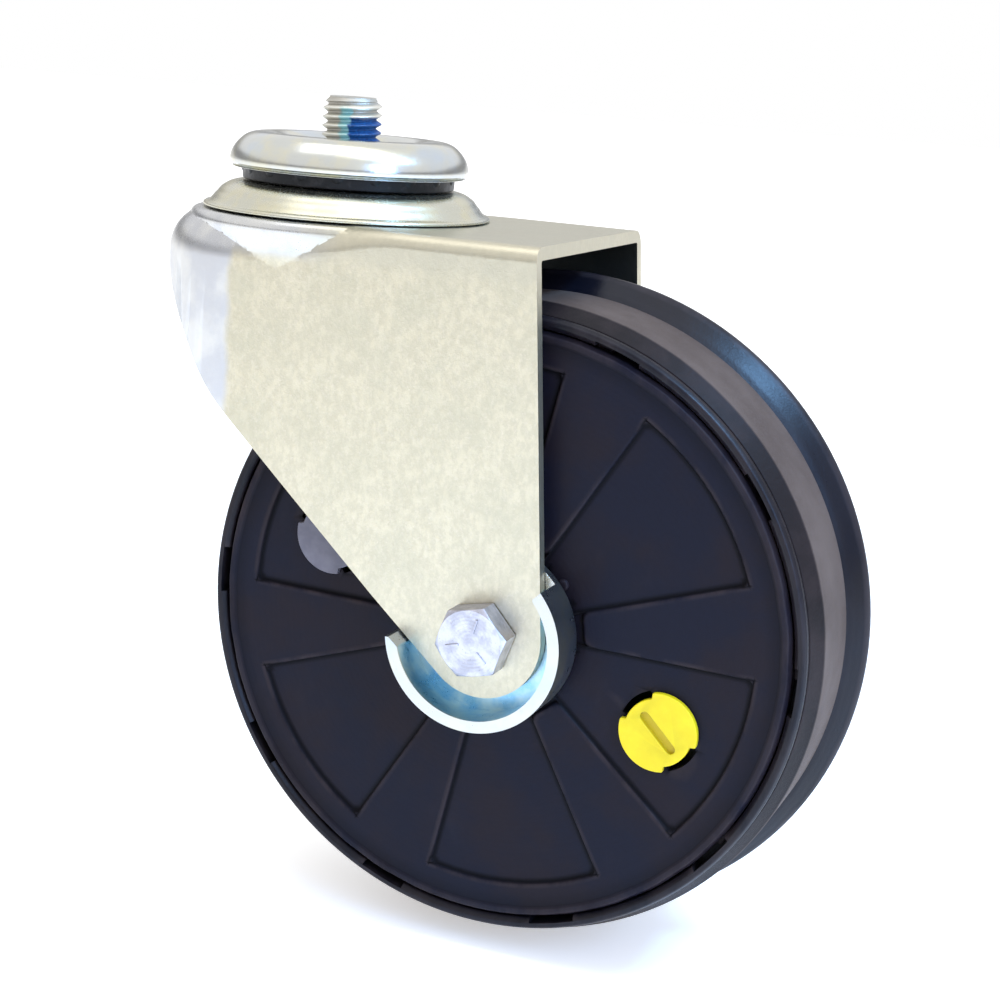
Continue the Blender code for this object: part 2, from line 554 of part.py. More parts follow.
plug("yellow_plug", PLUG_ANGLES[0], (0.95, 0.85, 0.03))
plug("grey_plug", PLUG_ANGLES[1], (0.14, 0.13, 0.16))


# ---------------------------------------------------------------- brake and electronics
tray = revolve("brake_carrier", [
    (SLEEVE_OUT + 0.2, -10.0 * K), (11.5, -10.0 * K), (11.5, TRAY_Y0), (TRAY_R - TRAY_WALL, TRAY_Y0),
    (TRAY_R - TRAY_WALL, TRAY_LIP_Y), (TRAY_R, TRAY_LIP_Y), (TRAY_R, TRAY_Y1), (11.5, TRAY_Y1), (11.5, 13.0 * K),
    (SLEEVE_OUT + 0.2, 13.0 * K),
], TRAY_STEPS, AXLE, ((0.18, 0.19, 0.21), 0.0, 0.5), along_y=True)
boolean(tray, prism("anchor_pin", circle(3.0, 20, (0.0, -PIVOT)), TRAY_Y1 - 0.5, BRAKE_Y1, AXLE), "UNION")
boolean(tray, prism("cam_hole", circle(3.4, 20, (0.0, PIVOT)), TRAY_Y0 - 3, TRAY_Y1 + 3, AXLE))

cam_shape = [(CAM_A * math.cos(math.radians(a)), PIVOT + CAM_B * math.sin(math.radians(a))) for a in range(0, 360, 12)]
gear_low, gear_high = TRAY_Y0 - GAP - 2.6 * K, TRAY_Y0 - GAP
cam = prism("brake_cam", cam_shape, BRAKE_Y0, BRAKE_Y1 - 1.0, AXLE, (STEEL, 1.0, 0.35))
boolean(cam, prism("cam_shaft", circle(3.0, 20, (0.0, PIVOT)), gear_low + 0.2, BRAKE_Y0 + 1.0, AXLE), "UNION")
cam_gear = [(x, z + PIVOT) for x, z in gear(GEAR_TEETH, GEAR_R, 0.0)]
boolean(cam, prism("cam_gear", cam_gear, gear_low, gear_high, AXLE), "UNION")

mesh_angle = math.degrees(math.atan2(PINION_Z - PIVOT, PINION_X))
near_tooth = round(mesh_angle / (360.0 / GEAR_TEETH)) * (360.0 / GEAR_TEETH)
pinion_phase = mesh_angle + 180.0 + 180.0 / PINION_TEETH + (mesh_angle - near_tooth) * GEAR_TEETH / PINION_TEETH
pinion = prism("motor_pinion", gear(PINION_TEETH, PINION_R, pinion_phase), gear_low, gear_high,
               (AXLE[0] + PINION_X, 0.0, AXLE[2] + PINION_Z), (STEEL, 1.0, 0.35))
boolean(pinion, prism("pinion_shaft", circle(1.1, 12), gear_low - 3.0 * K, gear_low + 0.5,
                      (AXLE[0] + PINION_X, 0.0, AXLE[2] + PINION_Z)), "UNION")

motor_r = 0.15 * DRUM_R
motor = prism("brake_motor", circle(motor_r, 32), -17.0 * K, gear_low - GAP, (AXLE[0] + PINION_X, 0.0, AXLE[2] + PINION_Z),
              (STEEL, 1.0, 0.35))
boolean(motor, prism("motor_bore", circle(1.4, 12), gear_low - 3.3 * K, gear_low + 1.0,
                     (AXLE[0] + PINION_X, 0.0, AXLE[2] + PINION_Z)))


def shoe(name, side):
    """Half-moon shoe that turns on the anchor pin, with its friction lining as a piece of its own."""
    start, end = (-74.0, 76.0) if side > 0 else (254.0, 104.0)
    outline = sector(SHOE_IN, SHOE_OUT - LINING - 0.1, start, end, 18)
    made = prism(name, outline, BRAKE_Y0 + 1.0, BRAKE_Y1 - 1.5, AXLE, ((0.45, 0.45, 0.46), 1.0, 0.4))
    reach = SHOE_IN + 2.0
    foot = [(side * 3.6, -PIVOT - 3.5), (side * (reach * 0.33), -reach * 0.94), (side * (reach * 0.33), -PIVOT + 6.0),
            (side * 3.6, -PIVOT + 3.5)]
    toe = [(side * (CAM_A + 0.35), PIVOT - 4.0), (side * (CAM_A + 0.35), PIVOT + 4.0),
           (side * (reach * 0.30), reach * 0.95), (side * (reach * 0.30), PIVOT - 4.0)]
    boolean(made, prism(name + "_foot", foot, BRAKE_Y0 + 1.0, BRAKE_Y1 - 1.5, AXLE), "UNION")
    boolean(made, prism(name + "_toe", toe, BRAKE_Y0 + 1.0, BRAKE_Y1 - 1.5, AXLE), "UNION")
    lining = sector(SHOE_OUT - LINING + 0.1, SHOE_OUT, start + side * 8, end - side * 12, 16)
    prism(name + "_lining", lining, BRAKE_Y0 + 0.6, BRAKE_Y1 - 1.1, AXLE, ((0.16, 0.12, 0.10), 0.0, 0.85))


shoe("brake_shoe_rear", 1)
shoe("brake_shoe_front", -1)

cell_low = -cell_reach(1.2)
prism("battery_cell_low", circle(CELL_R, 28, (CELL_Y, cell_low)), -CELL_LONG / 2, CELL_LONG / 2, AXLE,
      ((0.12, 0.35, 0.18), 0.3, 0.4), "X")
cell_side = -cell_reach(1.6)
prism("battery_cell_front", circle(CELL_R, 28, (cell_side, CELL_Y)), -CELL_LONG / 2, CELL_LONG / 2, AXLE,
      ((0.12, 0.35, 0.18), 0.3, 0.4), "Z")

board = prism("circuit_board", rectangle(0.47 * TRAY_R, 0.84 * TRAY_R, -0.45 * TRAY_R, 0.40 * TRAY_R),
              -6.2 * K, -4.6 * K, AXLE, ((0.05, 0.30, 0.12), 0.0, 0.4))
for k, (x0, x1, z0, z1, tall) in enumerate((
        (0.52, 0.68, -0.30, -0.10, 1.8), (0.56, 0.80, 0.04, 0.26, 2.6), (0.72, 0.80, -0.28, -0.18, 4.0))):
    chip = rectangle(x0 * TRAY_R, x1 * TRAY_R, z0 * TRAY_R, z1 * TRAY_R)
    boolean(board, prism(f"board_chip_{k}", chip, (-6.2 - tall) * K, -5.4 * K, AXLE), "UNION")

revolve("antenna_coil", ring_profile(TRAY_R + 0.2, COIL_OUT, TRAY_LIP_Y + 1.0, TRAY_LIP_Y + 6.0 * K), TRAY_STEPS, AXLE,
        ((0.55, 0.25, 0.10), 1.0, 0.35), along_y=True)
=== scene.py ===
"""Looks for the swivel castor. Lengths are in millimetres until a mesh is made; the frame is in metres."""

import json
import math

import bmesh
import bpy
from mathutils import Matrix, Vector


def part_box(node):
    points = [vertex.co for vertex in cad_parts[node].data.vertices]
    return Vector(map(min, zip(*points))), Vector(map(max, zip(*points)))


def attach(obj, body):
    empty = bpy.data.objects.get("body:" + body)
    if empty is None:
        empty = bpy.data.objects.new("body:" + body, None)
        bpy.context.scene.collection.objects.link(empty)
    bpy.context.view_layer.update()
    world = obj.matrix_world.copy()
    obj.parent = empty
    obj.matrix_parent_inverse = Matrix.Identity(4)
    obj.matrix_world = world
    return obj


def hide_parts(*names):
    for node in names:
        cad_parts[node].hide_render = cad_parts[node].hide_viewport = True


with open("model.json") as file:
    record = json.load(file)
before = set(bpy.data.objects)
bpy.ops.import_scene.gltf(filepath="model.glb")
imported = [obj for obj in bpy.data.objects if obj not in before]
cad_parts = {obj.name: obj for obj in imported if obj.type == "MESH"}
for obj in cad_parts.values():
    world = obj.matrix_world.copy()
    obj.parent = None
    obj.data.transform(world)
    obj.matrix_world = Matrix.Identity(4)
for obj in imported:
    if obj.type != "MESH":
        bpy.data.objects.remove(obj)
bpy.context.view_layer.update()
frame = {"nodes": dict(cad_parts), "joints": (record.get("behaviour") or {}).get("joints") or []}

MM = 0.001
JOINTS = {joint["name"]: joint for joint in frame["joints"]}
AXLE = Vector(JOINTS["wheel_spin"]["pos_m"]) / MM
PLUGS = {side: Vector(JOINTS[side + "_plug_twist"]["pos_m"]) / MM for side in ("yellow", "grey")}


def span(node):
    """(lowest, highest) corner of a CAD node in millimetres."""
    low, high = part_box(node)
    return Vector(low) / MM, Vector(high) / MM


# ---------------------------------------------------------------- sizes, from the frame where it has them
GAP = 0.3
SHEET = 2.5
TREAD = (span("tyre")[1].z - span("tyre")[0].z) / 2
TYRE_Y0, TYRE_Y1 = span("tyre")[0].y, span("tyre")[1].y
RIM_HALF = span("wheel_rim")[1].y
FLANGE = (span("wheel_rim")[1].z - span("wheel_rim")[0].z) / 2
LIP, SEAT, GROOVE, STEP, BORE = TREAD - 2.1, TREAD - 4.5, TREAD - 6.5, TREAD - 3.0, TREAD - 11.0
LEDGE_Y, STEP_Y = RIM_HALF - 4.9, -RIM_HALF + 7.2
FLANGE_Y = 5.4
COVER_OUT, COVER_IN = RIM_HALF - 0.2, RIM_HALF - 2.3
PATTERN_IN, PATTERN_OUT, RECESS = 18.4, TREAD - 11.6, 0.8
FIELD_FROM, FIELD_WIDE = 18.7, 40.0
HUB_BORE, HUB = 13.9, 17.1
BEARING_IN = RIM_HALF - 7.6
PLUG_R = 7.75
HALF_OUT = -span("keeper_cup_near")[0].y - 5.0
HALF_IN = HALF_OUT - SHEET
PLATE_TOP = -15.4
PLATE_UP = PLATE_TOP - AXLE.z
NOSE_X = span("fork")[0].x - AXLE.x
CAP_R = span("bearing_cap")[1].x
STEM_TIP = span("kingpin")[1].z
STEM_R, PITCH = 6.0, 1.75
CUP_WALL_R, CUP_WALL = 17.7, 2.3


# ---------------------------------------------------------------- shader maths
class Wire:
    """A number in a shader tree. Arithmetic on it adds Math nodes."""

    def __init__(self, paint, socket):
        self.paint, self.socket = paint, socket

    def math(self, operation, *others, clamp=False):
        return self.paint.node("Math", {"operation": operation, "use_clamp": clamp}, self, *others)

    def __add__(self, other):
        return self.math("ADD", other)

    def __sub__(self, other):
        return self.math("SUBTRACT", other)

    def __rsub__(self, other):
        return self.paint.node("Math", {"operation": "SUBTRACT"}, other, self)

    def __mul__(self, other):
        return self.math("MULTIPLY", other)

    def __truediv__(self, other):
        return self.math("DIVIDE", other)

    __radd__, __rmul__ = __add__, __mul__

    def between(self, low, high):
        """0 below low, 1 above high, smooth between them. High below low turns it round."""
        if high < low:
            return 1.0 - self.between(high, low)
        settings = {"interpolation_type": "SMOOTHSTEP", "clamp": True}
        return self.paint.node("MapRange", settings, self, low, high, 0.0, 1.0)


class Paint:
    """One material. node() adds any node: first its settings, then the values or links of its sockets."""

    def __init__(self, name, colour, metallic=0.0, roughness=0.5, **fixed):
        self.material = bpy.data.materials.new(name)
        self.material.use_nodes = True
        self.tree = self.material.node_tree
        self.shader = self.tree.nodes["Principled BSDF"]
        self.at = self.node("TexCoord", {}, out="Object")
        self.shade(**{"Base Color": colour, "Metallic": metallic, "Roughness": roughness})
        for socket, value in fixed.items():
            self.shader.inputs[socket.replace("_", " ")].default_value = value

    def node(self, kind, settings, *values, out=0):
        made = self.tree.nodes.new("ShaderNode" + kind)
        for key, value in settings.items():
            setattr(made, key, value)
        for socket, value in zip(made.inputs, values):
            self.plug(value, socket)
        return Wire(self, made.outputs[out])

    def plug(self, value, socket):
        if isinstance(value, Wire):
            self.tree.links.new(value.socket, socket)
        elif value is not None:
            socket.default_value = (*value, 1.0) if socket.type == "RGBA" else value

    def shade(self, **sockets):
        for name, value in sockets.items():
            self.plug(value, self.shader.inputs[name])

    def mix(self, share, one, two):
        """Colour one where share is 0, colour two where it is 1."""
        made = self.tree.nodes.new("ShaderNodeMix")
        made.data_type = "RGBA"
        for key, value in (("Factor_Float", share), ("A_Color", one), ("B_Color", two)):
            self.plug(value, next(s for s in made.inputs if s.identifier == key))
        return Wire(self, next(s for s in made.outputs if s.identifier == "Result_Color"))

    def noise(self, scale, detail=3.0, roughness=0.5, stretch=None):
        place = self.node("Mapping", {}, self.at, None, None, stretch) if stretch else self.at
        return self.node("TexNoise", {}, place, None, scale, detail, roughness, out=0)

    def attribute(self, name):
        return self.node("Attribute", {"attribute_name": name}, out="Fac")

    def across(self, centre=(0.0, 0.0, 0.0)):
        """x, y and z in millimetres from a centre."""
        moved = self.node("VectorMath", {"operation": "SUBTRACT"}, self.at, tuple(v * MM for v in centre))
        split = self.tree.nodes.new("ShaderNodeSeparateXYZ")
        self.tree.links.new(moved.socket, split.inputs[0])
        return [Wire(self, out) * 1000.0 for out in split.outputs]

    def round_axle(self):
        """(radius, angle in degrees, y) round the axle."""
        x, y, z = self.across(AXLE)
        return (x * x + z * z).math("SQRT"), z.math("ARCTAN2", x) * (180 / math.pi), y

    def round_swivel(self):
        """(radius, angle in degrees, z) round the swivel axis."""
        x, y, z = self.across()
        return (x * x + y * y).math("SQRT"), y.math("ARCTAN2", x) * (180 / math.pi), z

    def bump(self, *heights):
        """Bump from (height, distance in millimetres) pairs, each laid on the one before."""
        normal = None
        for height, distance in heights:
            normal = self.node("Bump", {}, 1.0, distance * MM, None, height, normal)
        self.shade(Normal=normal)

    def on(self, *things):
        for thing in things:
            thing.data.materials.clear()
            thing.data.materials.append(self.material)
        return things[0]


# ---------------------------------------------------------------- mesh work
def tidy(piece, crease=30.0):
    """Merged corners, faces outward, smooth shading up to the crease angle."""
    build = bmesh.new()
    build.from_mesh(piece.data)
    bmesh.ops.remove_doubles(build, verts=build.verts, dist=0.002 * MM)
    bmesh.ops.recalc_face_normals(build, faces=build.faces)
    build.to_mesh(piece.data)
    build.free()
    piece.data.shade_smooth()
    piece.data.set_sharp_from_angle(angle=math.radians(crease))
    return piece


def piece_of(name, corners, faces, crease=30.0):
    mesh = bpy.data.meshes.new(name)
    mesh.from_pydata([tuple(v * MM for v in corner) for corner in corners], [], faces)
    made = bpy.data.objects.new(name, mesh)
    bpy.context.scene.collection.objects.link(made)
    return tidy(made, crease)


def settled(piece):
    """The piece with its modifiers turned into plain mesh."""
    graph = bpy.context.evaluated_depsgraph_get()
    mesh = bpy.data.meshes.new_from_object(piece.evaluated_get(graph))
    piece.modifiers.clear()
    old, piece.data = piece.data, mesh
    bpy.data.meshes.remove(old)
    mesh.name = piece.name
    return piece


def shaped(piece, tool, operation="DIFFERENCE"):
    change = piece.modifiers.new("shape", "BOOLEAN")
    change.operation, change.solver, change.object = operation, "EXACT", tool
    settled(piece)
    bpy.data.objects.remove(tool, do_unlink=True)
    return tidy(piece)


def softened(piece, width, segments=2, angle=35.0, crease=40.0):
    """Sharp edges broken by a small round, with normals that keep the flats flat."""
    build = bmesh.new()
    build.from_mesh(piece.data)
    bmesh.ops.dissolve_limit(build, angle_limit=math.radians(0.3), verts=build.verts, edges=build.edges)
    build.to_mesh(piece.data)
    build.free()
    if width:
        bevel = piece.modifiers.new("round", "BEVEL")
        bevel.width, bevel.segments = width * MM, segments
        bevel.limit_method, bevel.angle_limit = "ANGLE", math.radians(angle)
        bevel.miter_outer = "MITER_ARC"
        settled(piece)
    tidy(piece, crease)
    weigh = piece.modifiers.new("flats", "WEIGHTED_NORMAL")
    weigh.keep_sharp, weigh.weight = True, 60
    return settled(piece)


def joined(name, pieces, crease=30.0):
    build = bmesh.new()
    for piece in pieces:
        build.from_mesh(piece.data)
        bpy.data.objects.remove(piece, do_unlink=True)
    mesh = bpy.data.meshes.new(name)
    build.to_mesh(mesh)
    build.free()
    made = bpy.data.objects.new(name, mesh)
    bpy.context.scene.collection.objects.link(made)
    mesh.shade_smooth()
    mesh.set_sharp_from_angle(angle=math.radians(crease))
    return made


def eased(profile, radius=0.3, per=3):
    """A closed profile with its corners rounded. A third number on a point is that corner's own radius."""
    done, count = [], len(profile)
    for i, point in enumerate(profile):
        here = Vector(point[:2])
        a, b = Vector(profile[i - 1][:2]) - here, Vector(profile[(i + 1) % count][:2]) - here
        turn = math.pi - a.angle(b)
        own = point[2] if len(point) > 2 else radius
        if turn < 0.2 or own == 0 or here.x == 0:
            done.append(tuple(here))
            continue
        reach = min(own * math.tan(turn / 2), 0.45 * a.length, 0.45 * b.length)
        p, q = here + a.normalized() * reach, here + b.normalized() * reach
        for k in range(per + 1):
            t = k / per
            done.append(tuple(p * (1 - t) ** 2 + here * 2 * t * (1 - t) + q * t * t))
    return done


def flowing(points, per=4):
    """An open line through the points, smooth from one to the next."""
    line, last = [], len(points) - 1
    for i in range(last):
        a, b, c, d = (Vector(points[min(max(k, 0), last)]) for k in (i - 1, i, i + 1, i + 2))
        for k in range(per):
            t = k / per
            line.append(tuple(0.5 * (2 * b + (c - a) * t + (2 * a - 5 * b + 4 * c - d) * t * t
                                     + (3 * b - a - 3 * c + d) * t ** 3)))
    return line + [tuple(points[-1])]


def spun(name, profile, steps=128, centre=None, crease=30.0):
    """A closed (radius, height) profile turned round the axle direction at a centre, or the swivel axis."""
    corners, rows, faces = [], [], []
    for radius, height in profile:
        row = []
        for i in range(1 if radius == 0 else steps):
            a, b = polar(radius, 360.0 * i / steps)
            row.append(len(corners))
            corners.append((a, b, height) if centre is None else (centre.x + a, height, centre.z + b))
        rows.append(row if len(row) > 1 else row * steps)
    for k in range(len(rows)):
        low, high = rows[k], rows[(k + 1) % len(rows)]
        if low[0] == low[1] and high[0] == high[1]:
            continue
        for i in range(steps):
            j = (i + 1) % steps
            faces.append(tuple(dict.fromkeys((low[i], low[j], high[j], high[i]))))
    return piece_of(name, corners, faces, crease)


def pulled(name, outline, low, high, centre, axis="Y"):
    """An outline pulled along Y, or along Z, round a centre."""
    count = len(outline)
    spread = (lambda p, t: (centre.x + p[0], t, centre.z + p[1])) if axis == "Y" else (
        lambda p, t: (centre.x + p[0], centre.y + p[1], t))
    corners = [spread(p, t) for t in (low, high) for p in outline]
    faces = [tuple(range(count)), tuple(range(count, 2 * count))]
    faces += [(i, i + count, (i + 1) % count + count, (i + 1) % count) for i in range(count)]
    return piece_of(name, corners, faces)


def polar(radius, degrees, centre=(0.0, 0.0)):
    turn = math.radians(degrees)
    return (centre[0] + radius * math.cos(turn), centre[1] + radius * math.sin(turn))


def arc(radius, start, end, steps, centre=(0.0, 0.0)):
    return [polar(radius, start + (end - start) * i / steps, centre) for i in range(steps + 1)]


def circle(radius, steps, centre=(0.0, 0.0)):
    return arc(radius, 0, 360, steps, centre)[:-1]


def sector(inner, outer, start, end, steps):
    return arc(inner, start, end, steps) + arc(outer, end, start, steps)


# ---------------------------------------------------------------- geometry trees for what repeats
class Grower:
    """A geometry tree with named inputs. It ends in Realize Instances and Set Material."""

    def __init__(self, name, **inputs):
        self.tree = bpy.data.node_groups.new(name, "GeometryNodeTree")
        self.tree.interface.new_socket("Result", in_out="OUTPUT", socket_type="NodeSocketGeometry")
        self.keys = {}
        kinds = {int: "NodeSocketInt", float: "NodeSocketFloat", tuple: "NodeSocketVector"}
        for label, value in inputs.items():
            made = self.tree.interface.new_socket(
                label, in_out="INPUT", socket_type=kinds.get(type(value), "NodeSocketMaterial"))
            if value is not None:
                made.default_value = value
            self.keys[label] = made.identifier
        self.start = self.tree.nodes.new("NodeGroupInput")
        self.end = self.tree.nodes.new("NodeGroupOutput")

    def given(self, label):
        return next(s for s in self.start.outputs if s.identifier == self.keys[label])

    def node(self, kind, settings, values, out=0):
        made = self.tree.nodes.new(kind)
        for key, value in settings.items():
            setattr(made, key, value)
        for key, value in values.items():
            socket = made.inputs[key]
            if isinstance(value, bpy.types.NodeSocket):
                self.tree.links.new(value, socket)
            else:
                socket.default_value = value
        return made.outputs[out]

    def maths(self, operation, a, b=0.0):
        return self.node("ShaderNodeMath", {"operation": operation}, {0: a, 1: b})

    def ring(self, shape):
        """The shape set Count times round Z at Radius, turned by Start, then turned and moved as one."""
        step = self.maths("DIVIDE", 2 * math.pi, self.given("Count"))
        index = self.node("GeometryNodeInputIndex", {}, {})
        angle = self.maths("ADD", self.maths("MULTIPLY", index, step), self.given("Start"))
        place = self.node("ShaderNodeCombineXYZ", {}, {
            0: self.maths("MULTIPLY", self.maths("COSINE", angle), self.given("Radius")),
            1: self.maths("MULTIPLY", self.maths("SINE", angle), self.given("Radius"))})
        points = self.node("GeometryNodePoints", {}, {"Count": self.given("Count"), "Position": place})
        facing = self.node("ShaderNodeCombineXYZ", {}, {2: angle})
        copies = self.node("GeometryNodeInstanceOnPoints", {},
                           {"Points": points, "Instance": shape, "Rotation": facing})
        real = self.node("GeometryNodeRealizeInstances", {}, {"Geometry": copies})
        moved = self.node("GeometryNodeTransform", {}, {
            "Geometry": real, "Rotation": self.given("Turn"), "Translation": self.given("Move")})
        self.ended(moved)

    def ended(self, shape):
        real = self.node("GeometryNodeRealizeInstances", {}, {"Geometry": shape})
        done = self.node("GeometryNodeSetMaterial", {}, {"Geometry": real, "Material": self.given("Finish")})
        self.tree.links.new(done, self.end.inputs[0])

    def grown(self, name, **values):
        host = bpy.data.objects.new(name, bpy.data.meshes.new(name))
        bpy.context.scene.collection.objects.link(host)
        grow = host.modifiers.new("grow", "NODES")
        grow.node_group = self.tree
        for label, value in values.items():
            grow[self.keys[label]] = value
        return tidy(settled(host))


ball_ring = Grower("ball_ring", Count=18, Radius=0.0192, Start=0.0, Ball=0.0026, Turn=(0.0, 0.0, 0.0),
                   Move=(0.0, 0.0, 0.0), Finish=None)
ball_ring.ring(ball_ring.node("GeometryNodeMeshIcoSphere", {},
                              {"Radius": ball_ring.given("Ball"), "Subdivisions": 4}))

block_ring = Grower("block_ring", Count=10, Radius=0.05, Start=0.0, Size=(0.002, 0.006, 0.002),
                    Turn=(0.0, 0.0, 0.0),
                    Move=(0.0, 0.0, 0.0), Finish=None)
block_ring.ring(block_ring.node("GeometryNodeMeshCube", {}, {"Size": block_ring.given("Size")}))

wire_coil = Grower("wire_coil", Turns=12.0, Radius=0.047, Length=0.006, Wire=0.0004, Turn=(0.0, 0.0, 0.0),
                   Move=(0.0, 0.0, 0.0), Finish=None)
wire_coil.ended(wire_coil.node("GeometryNodeTransform", {}, {
    "Geometry": wire_coil.node("GeometryNodeCurveToMesh", {}, {
        "Curve": wire_coil.node("GeometryNodeCurveSpiral", {}, {
            "Resolution": 72, "Rotations": wire_coil.given("Turns"),
            "Start Radius": wire_coil.given("Radius"),
            "End Radius": wire_coil.given("Radius"), "Height": wire_coil.given("Length")}),
        "Profile Curve": wire_coil.node("GeometryNodeCurvePrimitiveCircle", {}, {
            "Resolution": 8, "Radius": wire_coil.given("Wire")}),
        "Fill Caps": True}),
    "Rotation": wire_coil.given("Turn"), "Translation": wire_coil.given("Move")}))

ALONG_Y = (math.pi / 2, 0.0, 0.0)      # turns a ring made round Z so that it stands round the axle


# ---------------------------------------------------------------- finishes
def zinc_leg():
    """Pale yellow passivated zinc: mottled legs, a smooth nose and crown tinted blue-grey as a painted
    highlight, painted shade on the inner faces.
    """
    paint = Paint("zinc_plate", (0.72, 0.68, 0.55), 1.0, 0.34)
    x, y, z = paint.across()
    cloud, grain = paint.noise(95.0, 4.0, 0.6), paint.noise(2300.0, 3.0, 0.65)
    drawn = paint.noise(900.0, 4.0, 0.6, (1.0, 1.0, 0.6))
    speck = paint.noise(5200.0, 2.0, 0.5)
    tone = paint.mix(drawn.between(0.36, 0.66), (0.600, 0.545, 0.402), (0.685, 0.621, 0.460))
    tone = paint.mix(cloud.between(0.42, 0.66) * 0.5, tone, (0.560, 0.520, 0.385))
    tone = paint.mix(grain.between(0.50, 0.72) * 0.35, tone, (0.79, 0.705, 0.60))
    nose = (x + (cloud - 0.5) * 3.0).between(-8.6, -10.8)
    top = (z + (cloud - 0.5) * 1.0).between(-23.6, -20.0)
    crown = top * (x + (cloud - 0.5) * 8.0).between(14.0, 2.0)
    smooth = (nose + crown).math("MINIMUM", 1.0)
    tone = paint.mix(top * 0.6, tone, (0.56, 0.53, 0.42))
    # Painted highlight: the nose and crown are tinted blue-grey like the bright reflection on them; their
    # lower roughness and weaker bump are the real smoother finish.
    tone = paint.mix(smooth * 0.92, tone,
                     paint.mix(cloud.between(0.38, 0.64), (0.56, 0.57, 0.60), (0.70, 0.70, 0.69)))
    # Painted shade: faces inside the fork and under its plate are darkened nearly to black, standing in for
    # the shade there.
    inside = paint.attribute("inside")
    tone = paint.mix(inside * 0.9, tone, (0.035, 0.045, 0.050))
    paint.shade(**{"Base Color": tone,
                   "Roughness": (0.44 - 0.10 * smooth - 0.08 * top + (grain - 0.5) * 0.20
                                 + (cloud - 0.5) * 0.1)})
    paint.bump((drawn * (1.0 - 0.8 * smooth), 0.045), (grain * (1.0 - 0.7 * smooth), 0.03), (speck, 0.008))
    return paint


def bright_zinc(name, tint, shine=0.2, bowl=None):
    """Turned, plated steel with a scuffed gloss and faint passivation colours. A bowl gets a painted blue
    reflection inside its lip.
    """
    paint = Paint(name, tint, 1.0, shine)
    cloud, fine = paint.noise(140.0, 4.0, 0.6), paint.noise(1500.0, 3.0, 0.6)
    cool = paint.noise(60.0, 3.0, 0.5)
    warm = paint.mix(cloud.between(0.42, 0.62), tint, (tint[0] * 1.08, tint[1] * 1.04, tint[2] * 0.92))
    tone = paint.mix(cool.between(0.50, 0.68) * 0.6, warm, (tint[0] * 0.88, tint[1] * 1.0, tint[2] * 1.25))
    tone = paint.mix(fine.between(0.62, 0.72) * 0.2, tone, tuple(v * 0.7 for v in tint))
    # Painted reflection: the inside of the bowl is tinted blue where it mirrors the blue lamp.
    if bowl:
        radius, turn, y = paint.round_axle()
        inner = radius.between(bowl[0], bowl[0] - 0.3) * y.math("ABSOLUTE").between(bowl[1], bowl[1] - 0.5)
        tone = paint.mix(inner * 0.85, tone,
                         paint.mix(cloud.between(0.4, 0.6), (0.22, 0.52, 0.74), (0.48, 0.70, 0.80)))
    paint.shade(**{"Base Color": tone, "Roughness": shine + (cloud - 0.5) * 0.18 + (fine - 0.5) * 0.10})
    paint.bump((cloud, 0.05), (fine, 0.006))
    return paint


def threaded_steel():
    """The stem: plated thread with a dab of blue thread-lock on one side and a painted cyan reflection beside
    it.
    """
    paint = Paint("stem_steel", (0.70, 0.69, 0.66), 1.0, 0.3)
    radius, turn, z = paint.round_swivel()
    cloud, fine = paint.noise(420.0, 4.0, 0.6), paint.noise(2400.0, 3.0, 0.6)
    turn = turn + (cloud - 0.5) * 30.0
    height = z + (cloud - 0.5) * 1.4
    dab = turn.between(-72.0, -66.0) * turn.between(48.0, 36.0) * height.between(4.3, 3.5)
    # Painted reflection: a cyan strip beside the thread-lock stands in for the blue lamp's reflection on the
    # thread.
    painted_blue_reflection = turn.between(-96.0, -86.0) * turn.between(-62.0, -68.0) * height.between(6.5, 5.0)
    valley = radius.between(5.85, 5.1)
    tone = paint.mix(valley * 0.7, (0.80, 0.78, 0.70), (0.34, 0.31, 0.26))
    tone = paint.mix(painted_blue_reflection * 0.6, tone, (0.30, 0.66, 0.70))
    tone = paint.mix(dab, tone,
                     paint.mix(fine.between(0.4, 0.6), (0.001, 0.030, 0.120), (0.004, 0.075, 0.220)))
    paint.shade(**{"Base Color": tone, "Metallic": 1.0 - 0.95 * dab,
                   "Roughness": 0.26 + valley * 0.2 + fine * 0.1 + dab * 0.1})
    paint.bump((fine, 0.03), (cloud, 0.04))
    return paint


def machined(name, tint, rough=0.33):
    """Bolt, nut and washer steel: dull plating, tool marks and darker scale in patches and specks."""
    paint = Paint(name, tint, 1.0, rough)
    cloud, fine = paint.noise(300.0, 4.0, 0.6), paint.noise(1900.0, 3.0, 0.6)
    radius, turn, y = paint.round_axle()
    tone = paint.mix(cloud.between(0.4, 0.65), tint, tuple(v * 0.72 for v in tint))
    tone = paint.mix(fine.between(0.6, 0.75) * 0.6, tone, (0.30, 0.29, 0.30))
    rings = (radius * 9.0 + cloud * 2.0).math("SINE")
    paint.shade(**{"Base Color": tone, "Roughness": rough + (cloud - 0.5) * 0.25 + fine * 0.1})
    paint.bump((cloud, 0.10), (fine, 0.03), (rings, 0.006))
    return paint


